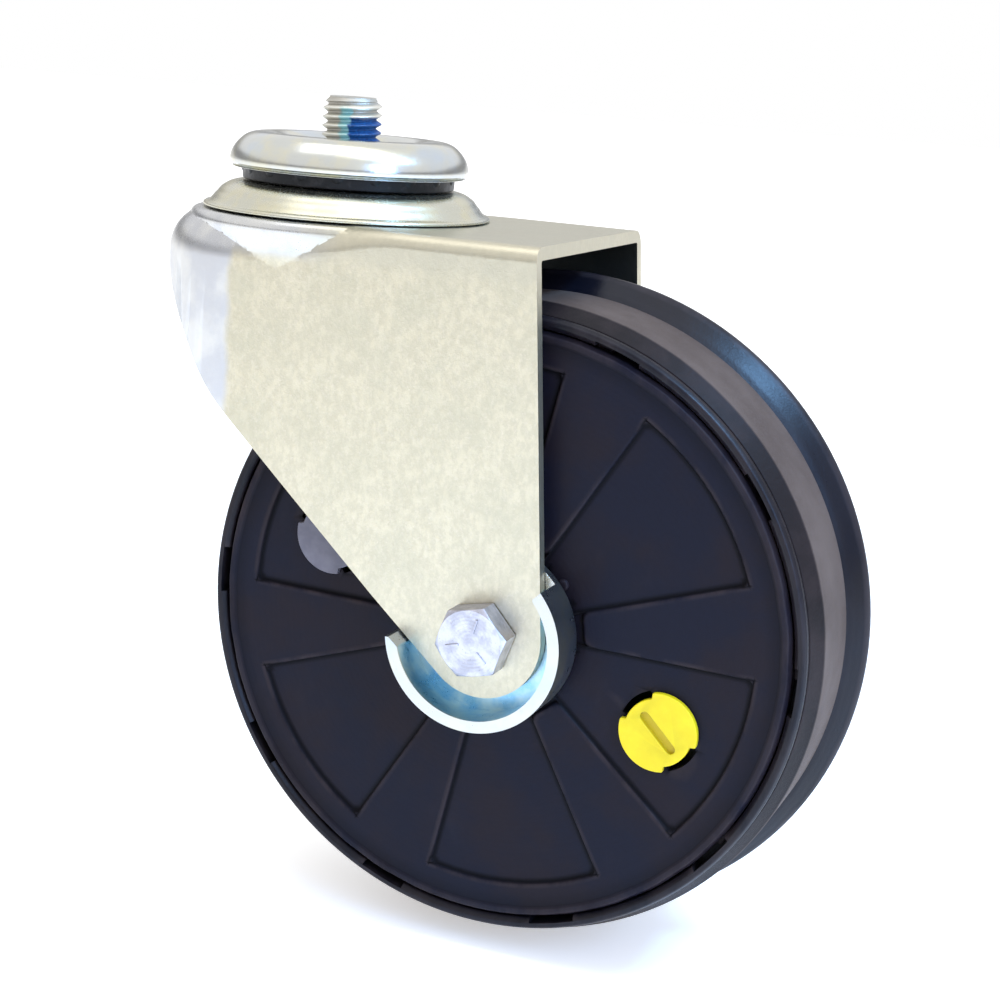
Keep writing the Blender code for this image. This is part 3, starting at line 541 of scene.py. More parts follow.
def black_nylon(name="black_nylon", depth=1.0, gloss=0.10, rough=0.38):
    """Moulded black nylon: bluish black, fine spark-eroded grain, painted shade in inward corners and rubbed
    edges lightened for wear and a painted highlight.
    """
    paint = Paint(name, (0.010, 0.009, 0.014), 0.0, rough, Specular_IOR_Level=gloss)
    radius, turn, y = paint.round_axle()
    cloud, grain = paint.noise(45.0, 4.0, 0.6), paint.noise(2300.0, 3.0, 0.6)
    smear = paint.noise(120.0, 5.0, 0.65, (1.0, 1.0, 0.4))
    wear_and_edge_highlight, painted_corner_shade = paint.attribute("edge"), paint.attribute("corner")
    tone = paint.mix(cloud.between(0.38, 0.66), tuple(v * depth for v in (0.0085, 0.0088, 0.0170)),
                     tuple(v * depth for v in (0.0135, 0.0100, 0.0140)))
    tone = paint.mix(smear.between(0.55, 0.75) * 0.25 * depth, tone, (0.020, 0.018, 0.026))
    # Wear and painted highlight: outward edges are lightened.
    tone = paint.mix(wear_and_edge_highlight * smear.between(0.35, 0.6) * 0.5, tone, (0.050, 0.036, 0.036))
    # Painted shade: inward corners are darkened nearly to black.
    tone = paint.mix(painted_corner_shade * 0.9, tone, (0.0022, 0.0020, 0.0030))
    rub = (radius * 5.0 + smear * 3.0).math("SINE")
    paint.shade(**{"Base Color": tone,
                   "Roughness": (rough + (cloud - 0.5) * 0.16 + (grain - 0.5) * 0.12 + wear_and_edge_highlight * 0.05
                                 + painted_corner_shade * 0.3)})
    paint.bump((smear, 0.10), (grain, 0.022), (rub, 0.004))
    return paint


def tyre_rubber():
    """Warm grey polyurethane tyre: turned tread, dusty, darker and polished on its shoulder."""
    paint = Paint("tyre_urethane", (0.12, 0.09, 0.08), 0.0, 0.6, Specular_IOR_Level=0.12)
    radius, turn, y = paint.round_axle()
    cloud, grain = paint.noise(70.0, 4.0, 0.6), paint.noise(1700.0, 4.0, 0.6)
    along = paint.noise(900.0, 3.0, 0.6, (1.0, 0.12, 1.0))
    shoulder = (y + (cloud - 0.5) * 0.5).between(TYRE_Y0 + 4.3, TYRE_Y0 + 3.6)
    tone = paint.mix(cloud.between(0.35, 0.7), (0.080, 0.053, 0.041), (0.112, 0.077, 0.061))
    tone = paint.mix(grain.between(0.45, 0.7) * 0.35, tone, (0.135, 0.102, 0.092))
    tone = paint.mix(shoulder, tone,
                     paint.mix(cloud.between(0.4, 0.6), (0.0120, 0.0080, 0.0080), (0.021, 0.0135, 0.0130)))
    lines = (y * 22.0).math("SINE")
    paint.shade(**{"Base Color": tone, "Roughness": 0.62 - 0.16 * shoulder + (grain - 0.5) * 0.2})
    paint.bump((along, 0.06), (grain, 0.03), (lines, 0.01))
    return paint


def moulded(name, tone_a, tone_b, rough):
    """Small moulded plug: semi-gloss, slight colour drift, rubbed edges lightened for wear and a painted
    highlight, painted shade in inward corners, and a fine mould grain.
    """
    paint = Paint(name, tone_a, 0.0, rough, Coat_Weight=0.08, Coat_Roughness=0.25, Specular_IOR_Level=0.3)
    cloud, grain = paint.noise(240.0, 4.0, 0.6), paint.noise(2600.0, 3.0, 0.5)
    wear_and_edge_highlight = paint.attribute("edge")
    tone = paint.mix(cloud.between(0.35, 0.7), tone_a, tone_b)
    # Wear and painted highlight: outward edges are lightened.
    tone = paint.mix(wear_and_edge_highlight * 0.12, tone, tuple(min(1.0, v * 1.2 + 0.02) for v in tone_b))
    # Painted shade: inward corners such as the coin slot are darkened.
    tone = paint.mix(paint.attribute("corner") * 0.5, tone, tuple(v * 0.30 for v in tone_a))
    paint.shade(**{"Base Color": tone, "Roughness": rough + (cloud - 0.5) * 0.15 + (grain - 0.5) * 0.1})
    paint.bump((cloud, 0.06), (grain, 0.012))
    return paint


def greased_steel():
    """Balls and cage in dark grease."""
    paint = Paint("greased_steel", (0.02, 0.02, 0.022), 0.2, 0.3, Specular_IOR_Level=0.3)
    cloud, fine = paint.noise(500.0, 4.0, 0.6), paint.noise(2200.0, 3.0, 0.6)
    tone = paint.mix(cloud.between(0.5, 0.7), (0.003, 0.003, 0.004), (0.020, 0.018, 0.018))
    paint.shade(**{"Base Color": tone, "Roughness": 0.22 + cloud * 0.35})
    paint.bump((cloud, 0.12), (fine, 0.02))
    return paint


def plain(name, tone_a, tone_b, metallic, rough, scale=300.0, depth=0.05, stretch=None):
    """A finish for parts inside the wheel: two tones, a fine grain and uneven gloss."""
    paint = Paint(name, tone_a, metallic, rough)
    cloud, fine = paint.noise(scale, 4.0, 0.6, stretch), paint.noise(scale * 7.0, 3.0, 0.6)
    paint.shade(**{"Base Color": paint.mix(cloud.between(0.35, 0.65), tone_a, tone_b),
                   "Roughness": rough + (cloud - 0.5) * 0.2 + (fine - 0.5) * 0.1})
    paint.bump((cloud, depth), (fine, depth * 0.2))
    return paint


ZINC = zinc_leg()
CAP_ZINC = bright_zinc("cap_zinc", (0.63, 0.64, 0.61), 0.20)
RING_ZINC = bright_zinc("ring_zinc", (0.60, 0.59, 0.50), 0.27)
CUP_ZINC = bright_zinc("cup_zinc", (0.57, 0.565, 0.53), 0.30, (CUP_WALL_R - CUP_WALL + 0.25, HALF_OUT + 4.9))
STEM = threaded_steel()
BOLT = machined("bolt_steel", (0.62, 0.61, 0.68))
NYLON = black_nylon()
RIM_NYLON = black_nylon("rim_nylon", 0.5, 0.20, 0.32)
TYRE = tyre_rubber()
YELLOW = moulded("yellow_plastic", (0.76, 0.56, 0.005), (0.82, 0.63, 0.01), 0.36)
GREY = moulded("grey_plastic", (0.115, 0.108, 0.135), (0.16, 0.15, 0.18), 0.42)
GREASE = greased_steel()
RACE = plain("ground_steel", (0.60, 0.60, 0.62), (0.48, 0.48, 0.50), 1.0, 0.22, 500.0, 0.01)
CAST = plain("drum_iron", (0.30, 0.29, 0.28), (0.42, 0.40, 0.38), 1.0, 0.45, 400.0, 0.06)
LINING = plain("friction_lining", (0.06, 0.045, 0.035), (0.15, 0.11, 0.08), 0.0, 0.85, 900.0, 0.12)
CARRIER = plain("glass_nylon", (0.035, 0.037, 0.042), (0.055, 0.057, 0.062), 0.0, 0.5, 700.0, 0.05)
CELL = plain("cell_sleeve", (0.012, 0.10, 0.03), (0.016, 0.14, 0.045), 0.0, 0.3, 200.0, 0.03)
BOARD = plain("solder_mask", (0.006, 0.075, 0.02), (0.01, 0.12, 0.035), 0.0, 0.35, 1200.0, 0.03)
COPPER = plain("enamelled_copper", (0.55, 0.20, 0.06), (0.68, 0.28, 0.10), 1.0, 0.28, 900.0, 0.02)


def mark_edges(piece, sharp=20.0):
    """Attributes that are 1 along outward edges, used for wear and a painted highlight, and along inward
    corners, used for painted shade.
    """
    build = bmesh.new()
    build.from_mesh(piece.data)
    build.verts.ensure_lookup_table()
    value = {"edge": [], "corner": []}
    for vert in build.verts:
        turns = [math.degrees(edge.calc_face_angle_signed(0.0)) for edge in vert.link_edges
                 if edge.is_manifold]
        value["edge"].append(min(1.0, max(turns + [0.0]) / sharp))
        value["corner"].append(min(1.0, max([-turn for turn in turns] + [0.0]) / sharp))
    for name, values in value.items():
        value[name] = [max([values[v.index]] + [0.7 * values[e.other_vert(v).index] for e in v.link_edges
                                                if e.calc_length() < MM]) for v in build.verts]
    build.free()
    for name, values in value.items():
        piece.data.attributes.new(name, "FLOAT", "POINT").data.foreach_set("value", values)
    return piece


def mark_painted_inner_shade(piece):
    """An attribute that is 1 on the faces that look towards the wheel and on those under the plate, where the
    fork's finish paints shade.
    """
    values = []
    for face in piece.data.polygons:
        middle = face.center / MM
        out = middle - Vector((max(middle.x, 0.0), 0.0, min(middle.z, PLATE_TOP - SHEET - 2.0)))
        under = face.normal.z < -0.7 and middle.z > PLATE_TOP - SHEET - 1.0
        values.append(1.0 if under or face.normal.dot(out.normalized()) < -0.3 else 0.0)
    piece.data.attributes.new("inside", "FLOAT", "FACE").data.foreach_set("value", values)
    return piece


def fitted(piece, body, node=None, finish=None):
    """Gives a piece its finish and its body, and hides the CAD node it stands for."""
    if finish:
        finish.on(piece)
    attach(piece, body)
    if node:
        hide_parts(node)
    return piece


# ---------------------------------------------------------------- swivel head
def stem():
    """Kingpin with a rolled thread: crests rounded, roots narrow, first turn chamfered away."""
    columns, per_turn = 96, 16
    depth, low, high = 0.61 * PITCH, -3.9, STEM_TIP - 0.25
    rows = [(7.6, -28.3), (9.0, -28.1), (9.4, -27.6), (9.4, -25.4), (9.2, -25.0), (STEM_R, -25.0),
            (STEM_R, -22.2), (7.6, -22.2),
            (8.0, -21.8), (8.0, -4.6), (7.8, -4.4), (STEM_R - depth, -4.4)]
    count = int((high - low) / PITCH * per_turn)
    rows += [(None, low + (high - low) * i / count) for i in range(count + 1)]
    rows += [(4.75, STEM_TIP - 0.1), (4.45, STEM_TIP), (2.2, STEM_TIP), (1.9, STEM_TIP - 0.25),
             (0.8, STEM_TIP - 0.7)]
    corners = []
    for radius, height in rows:
        for i in range(columns):
            if radius is None:
                share = abs(2 * ((height / PITCH - i / columns) % 1.0) - 1)
                share = min(1.0, max(0.0, (share - 0.08) / 0.80))
                share = share * 0.75 + 0.25 * share * share * (3 - 2 * share)
                top = STEM_R - max(0.0, height - (STEM_TIP - 1.6)) * 0.95
                corners.append(polar(min(top, STEM_R - depth * share), 360.0 * i / columns) + (height,))
            else:
                corners.append(polar(radius, 360.0 * i / columns) + (height,))
    faces = [tuple(range(columns))]
    for k in range(len(rows) - 1):
        a, b = k * columns, (k + 1) * columns
        faces += [(a + i, a + (i + 1) % columns, b + (i + 1) % columns, b + i) for i in range(columns)]
    faces.append(tuple(range(len(corners) - columns, len(corners))))
    return piece_of("threaded_stem", corners, faces, 50.0)


fitted(stem(), "mount", "kingpin", STEM)

R = CAP_R
dome = flowing([(R - 0.05, -6.3), (R - 0.02, -5.4), (R - 0.4, -4.0), (R - 1.0, -2.9), (R - 1.9, -1.8),
                (R - 3.1, -0.8), (R - 4.5, -0.2), (R - 6.0, 0.0), (R - 8.2, 0.0), (R - 10.2, -0.5),
                (R - 12.4, -1.5), (R - 14.6, -2.3), (R - 16.2, -2.4), (STEM_R + 0.45, -2.4)])
fitted(spun("swivel_cap",
            eased([(STEM_R + GAP, -4.1), (R - 2.6, -4.1, 0.8), (R - 2.1, -7.1, 0.3), (R - 0.15, -7.1, 0.5)],
                                0.4) + dome + [(STEM_R + GAP, -2.6)], 160, crease=40.0),
       "mount", "bearing_cap", CAP_ZINC)

upper_cage = spun("upper_cage", eased([(17.0, -9.55), (21.5, -9.55), (21.5, -4.6), (17.0, -4.6)], 0.5), 128)
upper_balls = ball_ring.grown("upper_balls", Count=18, Radius=0.01925, Start=math.pi / 18, Ball=0.0026,
                              Move=(0.0, 0.0, -0.007))
fitted(joined("upper_ball_race", [upper_cage, upper_balls]), "upper_balls", "upper_ball_ring",
       GREASE)

P = PLATE_TOP
FOOT = CAP_R + 4.95
cone = flowing([(22.3, -9.95), (23.2, -10.1), (24.3, -10.5), (25.65, -11.4), (26.4, -12.3), (26.95, -12.9),
                (27.5, -13.6),
                (27.95, -14.1)])
fitted(spun("race_ring", [(12.2, -9.9), (21.9, -9.9)] + cone
            + eased([(28.25, -14.3, 0.1), (28.75, -14.35, 0.2), (FOOT, -14.65, 0.3), (FOOT, -15.08, 0.1),
                     (25.6, -15.08, 0.5),
                     (22.5, -12.3, 0.5), (12.2, -12.3, 0.3)], 0.2), 160, crease=40.0),
       "fork", "swivel_race_ring", RING_ZINC)

lower_cage = spun("lower_cage", eased([(13.4, -21.0), (15.8, -21.0), (15.8, -19.4), (13.4, -19.4)], 0.4), 96)
lower_balls = ball_ring.grown("lower_balls", Count=12, Radius=0.0146, Start=math.pi / 12, Ball=0.002,
                              Move=(0.0, 0.0, -0.0202))
fitted(joined("lower_ball_race", [lower_cage, lower_balls]), "lower_balls", "lower_ball_ring",
       GREASE)

fitted(spun("lower_cup",
            eased([(6.3, -24.5), (18.2, -24.5, 0.9), (19.4, -23.3, 1.4), (19.4, -18.9, 0.5),
                   (17.5, -18.9, 0.5),
                                (17.5, -22.5, 0.8), (6.3, -22.5)], 0.2), 128), "mount", "lower_race_cup",
       RING_ZINC)


# ---------------------------------------------------------------- fork
def leg_outline(grow=0.0):
    sx, sz = NOSE_X / -82.0, PLATE_UP / 74.3
    edge = [(-23.8 * sx, 4.6 * sz), (-52.3 * sx, 30.8 * sz), (-62.6 * sx, 40.8 * sz), (-69.3 * sx, 50.3 * sz),
            (-75.9 * sx, 59.8 * sz), (-82.6 * sx, 69.4 * sz)]
    lower = flowing([(x - 0.7 * grow, z - 0.75 * grow) for x, z in edge], 4)
    top = PLATE_UP + 1.0 + grow
    return ([(NOSE_X - 2.0 - grow, lower[-1][1])] + lower[::-1] + arc(12.2 + grow, 226, 364, 36)
            + [(5.5 + grow, top), (NOSE_X - 2.0 - grow, top)])


def bend_radius(x):
    share = min(1.0, max(0.0, (-22.0 - x) / 28.0))
    return 3.0 + 5.5 * share * share * (3 - 2 * share)


def fork_block(name, inset):
    """Plan view of the fork with a round nose, its walls bent over into the plate."""
    corner, back = 25.0, 30.0 + inset
    legs = [back, -22.3] + [-22.3 - 2.5 * i for i in range(1, 12)]
    centre = NOSE_X + corner
    path = [(x, HALF_OUT, 90.0) for x in legs if x > centre + 1]
    path += [(*polar(corner, a, (centre, HALF_OUT - corner)), a) for a in range(90, 181, 5)]
    path += [(*polar(corner, a, (centre, corner - HALF_OUT)), a) for a in range(180, 271, 5)]
    path += [(x, -HALF_OUT, 270.0) for x in legs[::-1] if x > centre + 1]
    rings = [(-1.0, 0.0)] + [(a / 8.0, a / 8.0) for a in range(9)]
    corners = []
    for level, turn in rings:
        for x, y, facing in path:
            bend = max(0.6, bend_radius(x) - inset)
            quarter = math.radians(90.0 * turn)
            off = inset + bend * (1 - math.cos(quarter))
            nx, ny = polar(1.0, facing)
            top = PLATE_UP - inset
            height = -back if level < 0 else top - bend + bend * math.sin(quarter)
            corners.append((AXLE.x + x - nx * off, y - ny * off, AXLE.z + height))
    count = len(path)
    faces = [tuple(range(count)), tuple(range(len(corners) - count, len(corners)))]
    for k in range(len(rings) - 1):
        a, b = k * count, (k + 1) * count
        faces += [(a + i, a + (i + 1) % count, b + (i + 1) % count, b + i) for i in range(count)]
    return piece_of(name, corners, faces)


def pressed_fork():
    made = fork_block("pressed_fork", 0.0)
    slope = flowing([(HALF_OUT - 0.1, P - 10.0), (HALF_OUT + 0.35, P - 6.5), (31.7, P - 2.6), (31.6, P - 1.3),
                     (30.9, P - 0.4),
                     (29.9, P - 0.12)], 4)
    crown = spun("crown", [(0, P - 10.0)] + slope + [(0, P - 0.1)], 128)
    shaped(made, crown, "UNION")
    shaped(made, fork_block("inside", SHEET))
    shaped(made, pulled("side", leg_outline(), -60, 60, AXLE), "INTERSECT")
    shaped(made, pulled("axle_hole", circle(4.3, 48), -60, 60, AXLE))
    shaped(made, pulled("swivel_hole", circle(9.6, 64), P - 6, P + 3, Vector(), "Z"))
    return softened(made, 0.22, 2, 50.0)


fitted(mark_painted_inner_shade(mark_edges(pressed_fork())), "fork", "fork", ZINC)


# ---------------------------------------------------------------- axle hardware
def keeper_cup(side):
    near, far = side * (HALF_IN - GAP), side * (HALF_OUT + 5.0)
    floor_in = side * (HALF_IN - GAP - 2.0)
    wall = CUP_WALL_R - CUP_WALL
    made = spun("cup", [(0, floor_in), (CUP_WALL_R, floor_in), (CUP_WALL_R, far), (wall, far), (wall, near),
                        (0, near)],
                128, AXLE)
    beyond = far + side * 5
    mouth = [(0.0, 0.0), polar(wall * 0.9, 41), polar(1.6 * CUP_WALL_R, 43), polar(1.9 * CUP_WALL_R, 114),
             polar(1.6 * CUP_WALL_R, 185), polar(wall * 0.9, 187)]
    shaped(made, pulled("mouth", mouth, *sorted((near + side * 0.01, beyond)), AXLE))
    shaped(made, pulled("leg", leg_outline(0.4), *sorted((near + side * 0.01, beyond)), AXLE))
    shaped(made, pulled("hole", circle(4.3, 48), *sorted((near * 0.5, far)), AXLE))
    return softened(made, 0.25, 3, 45.0)


for side, label in ((-1, "near"), (1, "far")):
    cup = keeper_cup(side)
    cup.name = cup.data.name = "leg_cup_" + label
    fitted(cup, "fork", "keeper_cup_" + label, CUP_ZINC)

HEAD_Y = -(HALF_OUT + GAP)


def hexagon_head(name, low, high, bore=0.0, chamfer_low=True, chamfer_high=True):
    """A hexagon with its corners turned off on one or both faces."""
    across = 12.8 / math.sqrt(3)
    made = pulled(name, [polar(across, 12 + 60 * i) for i in range(6)], low, high, AXLE)
    c, r = 1.1, across + 0.05
    outline = [(0, low - (1 if not chamfer_low else 0)),
               (r - c if chamfer_low else r + 1, low - (1 if not chamfer_low else 0)),
               (r + 0.6, low + c * 0.9), (r + 0.6, high - c * 0.9),
               (r - c if chamfer_high else r + 1, high + (1 if not chamfer_high else 0)),
               (0, high + (1 if not chamfer_high else 0))]
    shaped(made, spun(name + "_turn", outline, 96, AXLE), "INTERSECT")
    if bore:
        shaped(made, pulled(name + "_bore", circle(bore, 48), low - 2, high + 2, AXLE))
    return softened(made, 0.18, 2, 30.0, 28.0)


shank = spun("shank", eased([(0, HEAD_Y - 0.6), (4.0, HEAD_Y - 0.6), (4.0, HALF_OUT + 10.2, 0.9),
                             (0, HALF_OUT + 10.2)], 0.9), 64, AXLE)
head = hexagon_head("head", HEAD_Y - 5.3, HEAD_Y, 0.0, True, False)
marks = block_ring.grown("grade_marks", Count=3, Radius=0.0036, Start=math.radians(-165),
                         Size=(0.0028, 0.00055, 0.0005),
                         Turn=ALONG_Y, Move=tuple(v * MM for v in (AXLE.x, HEAD_Y - 5.3, AXLE.z)))
bolt = joined("hex_bolt", [shank, head, softened(marks, 0.12, 2)], 28.0)
fitted(bolt, "fork", "axle_bolt", BOLT)
nut_y = HALF_OUT + GAP + 1.7
fitted(hexagon_head("hex_nut", nut_y, nut_y + 6.4, 4.12), "fork", "axle_nut", BOLT)
fitted(spun("washer",
            eased([(4.3, HALF_OUT + GAP), (8.6, HALF_OUT + GAP), (8.6, HALF_OUT + GAP + 1.6),
                   (4.3, HALF_OUT + GAP + 1.6)],
                            0.35), 96, AXLE), "fork", "nut_washer", BOLT)


# ---------------------------------------------------------------- wheel
def rim():
    h, back = RIM_HALF, FLANGE_Y + 1.1
    flank = flowing([(TREAD + 0.4, FLANGE_Y * 0.30), (TREAD + 1.3, FLANGE_Y * 0.5),
                     (TREAD + 2.5, FLANGE_Y * 0.78),
                     (FLANGE - 0.1, FLANGE_Y * 0.98)], 3)
    profile = ([(SEAT, -LEDGE_Y), (SEAT, -h + 0.9, 0.6), (SEAT + 0.9, -h, 0.6), (LIP - 0.5, -h, 0.7),
                (LIP, -h + 1.0, 0.5),
                (LIP, TYRE_Y0 - GAP, 0.2), (STEP, TYRE_Y0 - GAP, 0.1), (STEP, STEP_Y, 0.1),
                (GROOVE, STEP_Y, 0.1),
                (GROOVE, TYRE_Y1 + GAP, 0.1), (TREAD - 0.6, TYRE_Y1 + GAP, 0.4)] + [(*p, 0) for p in flank]
               + [(FLANGE, FLANGE_Y + 0.4, 0.3), (FLANGE, back, 0.4), (FLANGE - 2.4, back + 1.2, 1.2),
                  (LIP + 0.8, back + 2.4, 1.2),
                  (LIP, back + 4.0, 1.0), (LIP, h - 1.0, 0.5), (LIP - 0.5, h, 0.7), (SEAT + 0.9, h, 0.6),
                  (SEAT, h - 0.9, 0.6),
                  (SEAT, LEDGE_Y, 0.1), (BORE, LEDGE_Y, 0.2), (BORE, -LEDGE_Y, 0.2)])
    made = spun("rim", eased(profile, 0.3), 180, AXLE)
    for side in (-1, 1):
        corners, faces = [], []
        for i in range(10):
            at = -2.0 + i * 36.0
            outline = sector(SEAT - 0.8, SEAT + 1.0, at - 4.5, at + 4.5, 6)
            ends = sorted((side * (LEDGE_Y + 0.3), side * (h + 1.0)))
            base, count = len(corners), len(outline)
            corners += [(AXLE.x + a, y, AXLE.z + b) for y in ends for a, b in outline]
            faces += [tuple(range(base, base + count)), tuple(range(base + count, base + 2 * count))]
            faces += [(base + k, base + k + count, base + (k + 1) % count + count, base + (k + 1) % count)
                      for k in range(count)]
        shaped(made, piece_of("pockets", corners, faces))
    return softened(made, 0, crease=32.0)


fitted(mark_edges(rim(), 30.0), "wheel", "wheel_rim", RIM_NYLON)

fitted(spun("tread_tyre", eased([
    (STEP + GAP, TYRE_Y0), (LIP + 0.1, TYRE_Y0, 0.3), (TREAD - 0.6, TYRE_Y0 + 3.1, 1.4),
    (TREAD, TYRE_Y0 + 4.0, 1.4), (TREAD, TYRE_Y1 - 0.1, 0.6), (TREAD - 0.5, TYRE_Y1, 0.3),
    (GROOVE + GAP, TYRE_Y1), (GROOVE + GAP, STEP_Y + GAP), (STEP + GAP, STEP_Y + GAP)], 0.2), 200, AXLE, 40.0), "wheel", "tyre", TYRE)


def cover(name, side, plugs):
    """Snap-in cover on a polar grid: a bead, six raised wedges between sunk fields, each edge rolled over."""
    edge, soft, corner = SEAT - GAP, 0.28, 1.5
    near = (-1.7, -1.1, -0.6, -0.3, -0.15, 0.0, 0.15, 0.3, 0.6, 1.1, 1.7)
    rows = eased([(edge, LEDGE_Y + GAP, 0.2), (edge, COVER_OUT - 0.9, 0.4),
                  (edge - 0.6, COVER_OUT + 0.3, 0.5),
                  (edge - 1.6, COVER_OUT + 0.3, 0.5), (edge - 2.2, COVER_OUT, 0.4), (50.0, COVER_OUT),
                  (40.0, LEDGE_Y)], 0.3)[:-8]
    rows = [row for row in rows if row[0] > PATTERN_OUT + 2.0]
    between = [47.5, 43.5, 39.0, 34.0, 29.0, 25.0]
    for radius in [PATTERN_OUT - o for o in near] + between + [PATTERN_IN - o for o in near]:
        rows.append((radius, COVER_OUT))
    inner = HUB_BORE + 1.1
    rows += [(inner + 1.0, COVER_OUT)]
    low = COVER_OUT - RECESS
    rows += eased([(inner + 0.5, low, 0.3), (inner, low, 0.4), (inner, RIM_HALF + 0.4, 0.3),
                   (HUB_BORE, RIM_HALF + 0.4, 0.3),
                   (HUB_BORE, BEARING_IN, 0.1), (HUB, BEARING_IN, 0.3), (HUB, COVER_IN, 0.4),
                   (edge - 3.2, COVER_IN, 0.4),
                   (edge - 3.2, LEDGE_Y + GAP, 0.3)], 0.3)
    columns = []
    for i in range(6):
        start = FIELD_FROM + 60.0 * i
        end = start + FIELD_WIDE
        columns += [(start, o) for o in near] + [(start + FIELD_WIDE * k / 14, 0.0) for k in range(2, 13)]
        columns += [(end, o) for o in near] + [(end + 20.0 * k / 7, 0.0) for k in range(3, 5)]

    def rise(radius, angle):
        """Distance in millimetres inside the raised area, below 0 in a sunk one."""
        field = (angle - FIELD_FROM) % 60.0
        if field < FIELD_WIDE:
            wedge = -math.radians(min(field, FIELD_WIDE - field)) * radius
        else:
            wedge = math.radians(min(field - FIELD_WIDE, 60.0 - field)) * radius
        inward, outward = radius - PATTERN_IN, radius - PATTERN_OUT
        if wedge > 0:
            if wedge < corner and inward < corner:
                return corner - math.hypot(corner - wedge, corner - inward)
            return max(min(wedge, inward), outward)
        if -wedge < corner and -corner < outward < 0:
            return math.hypot(corner + wedge, corner + outward) - corner
        return max(wedge, outward)

    corners = []
    for radius, height in rows:
        for base, offset in columns:
            angle = base + math.degrees(offset / radius)
            a, b = polar(radius, angle)
            share = min(1.0, max(0.0, 0.5 - rise(radius, angle) / (2 * soft))) if height == COVER_OUT else 0.0
            corners.append((AXLE.x + a, side * (height - share * share * (3 - 2 * share) * RECESS),
                            AXLE.z + b))
    count, faces = len(columns), []
    for k in range(len(rows)):
        a, b = k * count, ((k + 1) % len(rows)) * count
        faces += [(a + i, a + (i + 1) % count, b + (i + 1) % count, b + i) for i in range(count)]
    made = piece_of(name, corners, faces, 35.0)
    ends = sorted((side * (COVER_IN - 2), side * (COVER_OUT + 1)))
    for centre in plugs:
        slot = []
        for start in (135.0, 315.0):
            slot += arc(PLUG_R + 0.2, start - 27, start + 27, 12)
            slot += arc(PLUG_R * 0.7, start + 37, start + 143, 20)
        shaped(made, pulled("plug_seat", slot, *ends, centre))
    return made


def covered(name, side, plugs):
    made = cover(name, side, plugs)
    hooks = block_ring.grown("snap_hooks", Count=10, Radius=(SEAT + 0.1) * MM, Start=math.radians(2.0),
                             Size=(0.0011, 0.0050, 0.0012), Turn=ALONG_Y,
                             Move=tuple(v * MM for v in (AXLE.x, side * (LEDGE_Y + 1.1), AXLE.z)))
    x, z = polar(17.0, 38.9)
    low = COVER_OUT - RECESS
    stud = spun("stud", eased([(0, side * (low - 0.4)), (1.15, side * (low - 0.4)),
                               (1.15, side * (low + 0.8), 0.5),
                               (0, side * (low + 0.8))], 0.4), 32, Vector((AXLE.x + x, 0, AXLE.z + z)))
    return joined(name, [made, softened(hooks, 0.3, 2), stud], 35.0)


fitted(mark_edges(covered("plug_side_cover", -1, list(PLUGS.values())), 14.0), "wheel", "near_cover",
       NYLON)
fitted(mark_edges(covered("plain_cover", 1, []), 14.0), "wheel", "far_cover", NYLON)


def twist_plug(side):
    """Cut-away head with a coin slot, neck and two bayonet lugs."""
    centre, seat = PLUGS[side], -(COVER_OUT - RECESS) - 0.2
    outline = []
    for start in (135.0, 315.0):
        outline += arc(PLUG_R * 0.86, start - 30, start + 30, 14)
        outline += arc(PLUG_R, start + 33, start + 147, 28)
    made = pulled(side + "_twist_plug", outline, seat - 1.3, seat, centre)
    ux, uz = polar(1.0, 135.0)
    long, wide = 0.62 * PLUG_R, 0.12 * PLUG_R
    groove = []
    for end, turn in ((1, -90), (-1, 90)):
        for a in range(0, 181, 30):
            gx, gz = polar(wide, turn + a)
            gx += end * (long - wide)
            groove.append((gx * ux - gz * uz, gx * uz + gz * ux))
    shaped(made, pulled("coin_slot", groove, seat - 3.0, seat - 0.3, centre))
    made = softened(made, 0.2, 3, 40.0)
    bits = [made, spun("neck", eased([(0, seat + 0.1), (PLUG_R * 0.7 - GAP, seat + 0.1),
                                      (PLUG_R * 0.7 - GAP, -COVER_IN + 1.9),
                                      (0, -COVER_IN + 1.9)], 0.3), 64, centre)]
    for k in (0, 1):
        lug = sector(PLUG_R * 0.3, PLUG_R * 0.92, 225 + 180 * k - 20, 225 + 180 * k + 20, 8)
        bits.append(softened(pulled("lug", lug, -COVER_IN + GAP, -COVER_IN + 1.7, centre), 0.2, 2))
    return joined(side + "_twist_plug", bits, 35.0)


fitted(mark_edges(twist_plug("yellow"), 30.0), "yellow_plug", "yellow_plug", YELLOW)
fitted(mark_edges(twist_plug("grey"), 30.0), "grey_plug", "grey_plug", GREY)


# ---------------------------------------------------------------- bearings and the brake inside
for side, label in ((-1, "near"), (1, "far")):
    middle = side * (RIM_HALF - 4.1)
    cage = spun("cage", eased([(8.9, middle - 0.9), (11.1, middle - 0.9), (11.1, middle + 0.9),
                               (8.9, middle + 0.9)], 0.4), 96, AXLE)
    balls = ball_ring.grown("balls", Count=8, Radius=0.01, Start=math.pi / 8, Ball=0.00165, Turn=ALONG_Y,
                            Move=tuple(v * MM for v in (AXLE.x, middle, AXLE.z)))
    fitted(joined("ball_cage_" + label, [cage, balls]), label + "_bearing_cage", "bearing_balls_" + label,
           RACE)

coil_low, coil_high = span("antenna_coil")[0].y, span("antenna_coil")[1].y
coil_r = (span("antenna_coil")[1].x - span("antenna_coil")[0].x) / 2
wound = [wire_coil.grown(f"layer_{k}", Turns=(coil_high - coil_low) / 0.62,
                         Radius=(coil_r - 0.35 - 0.75 * k) * MM,
                         Length=(coil_high - coil_low - 0.7) * MM, Wire=0.0003, Turn=ALONG_Y,
                         Move=tuple(v * MM for v in (AXLE.x, coil_high - 0.35, AXLE.z))) for k in range(3)]
fitted(joined("wound_coil", wound, 60.0), "fork", "antenna_coil", COPPER)

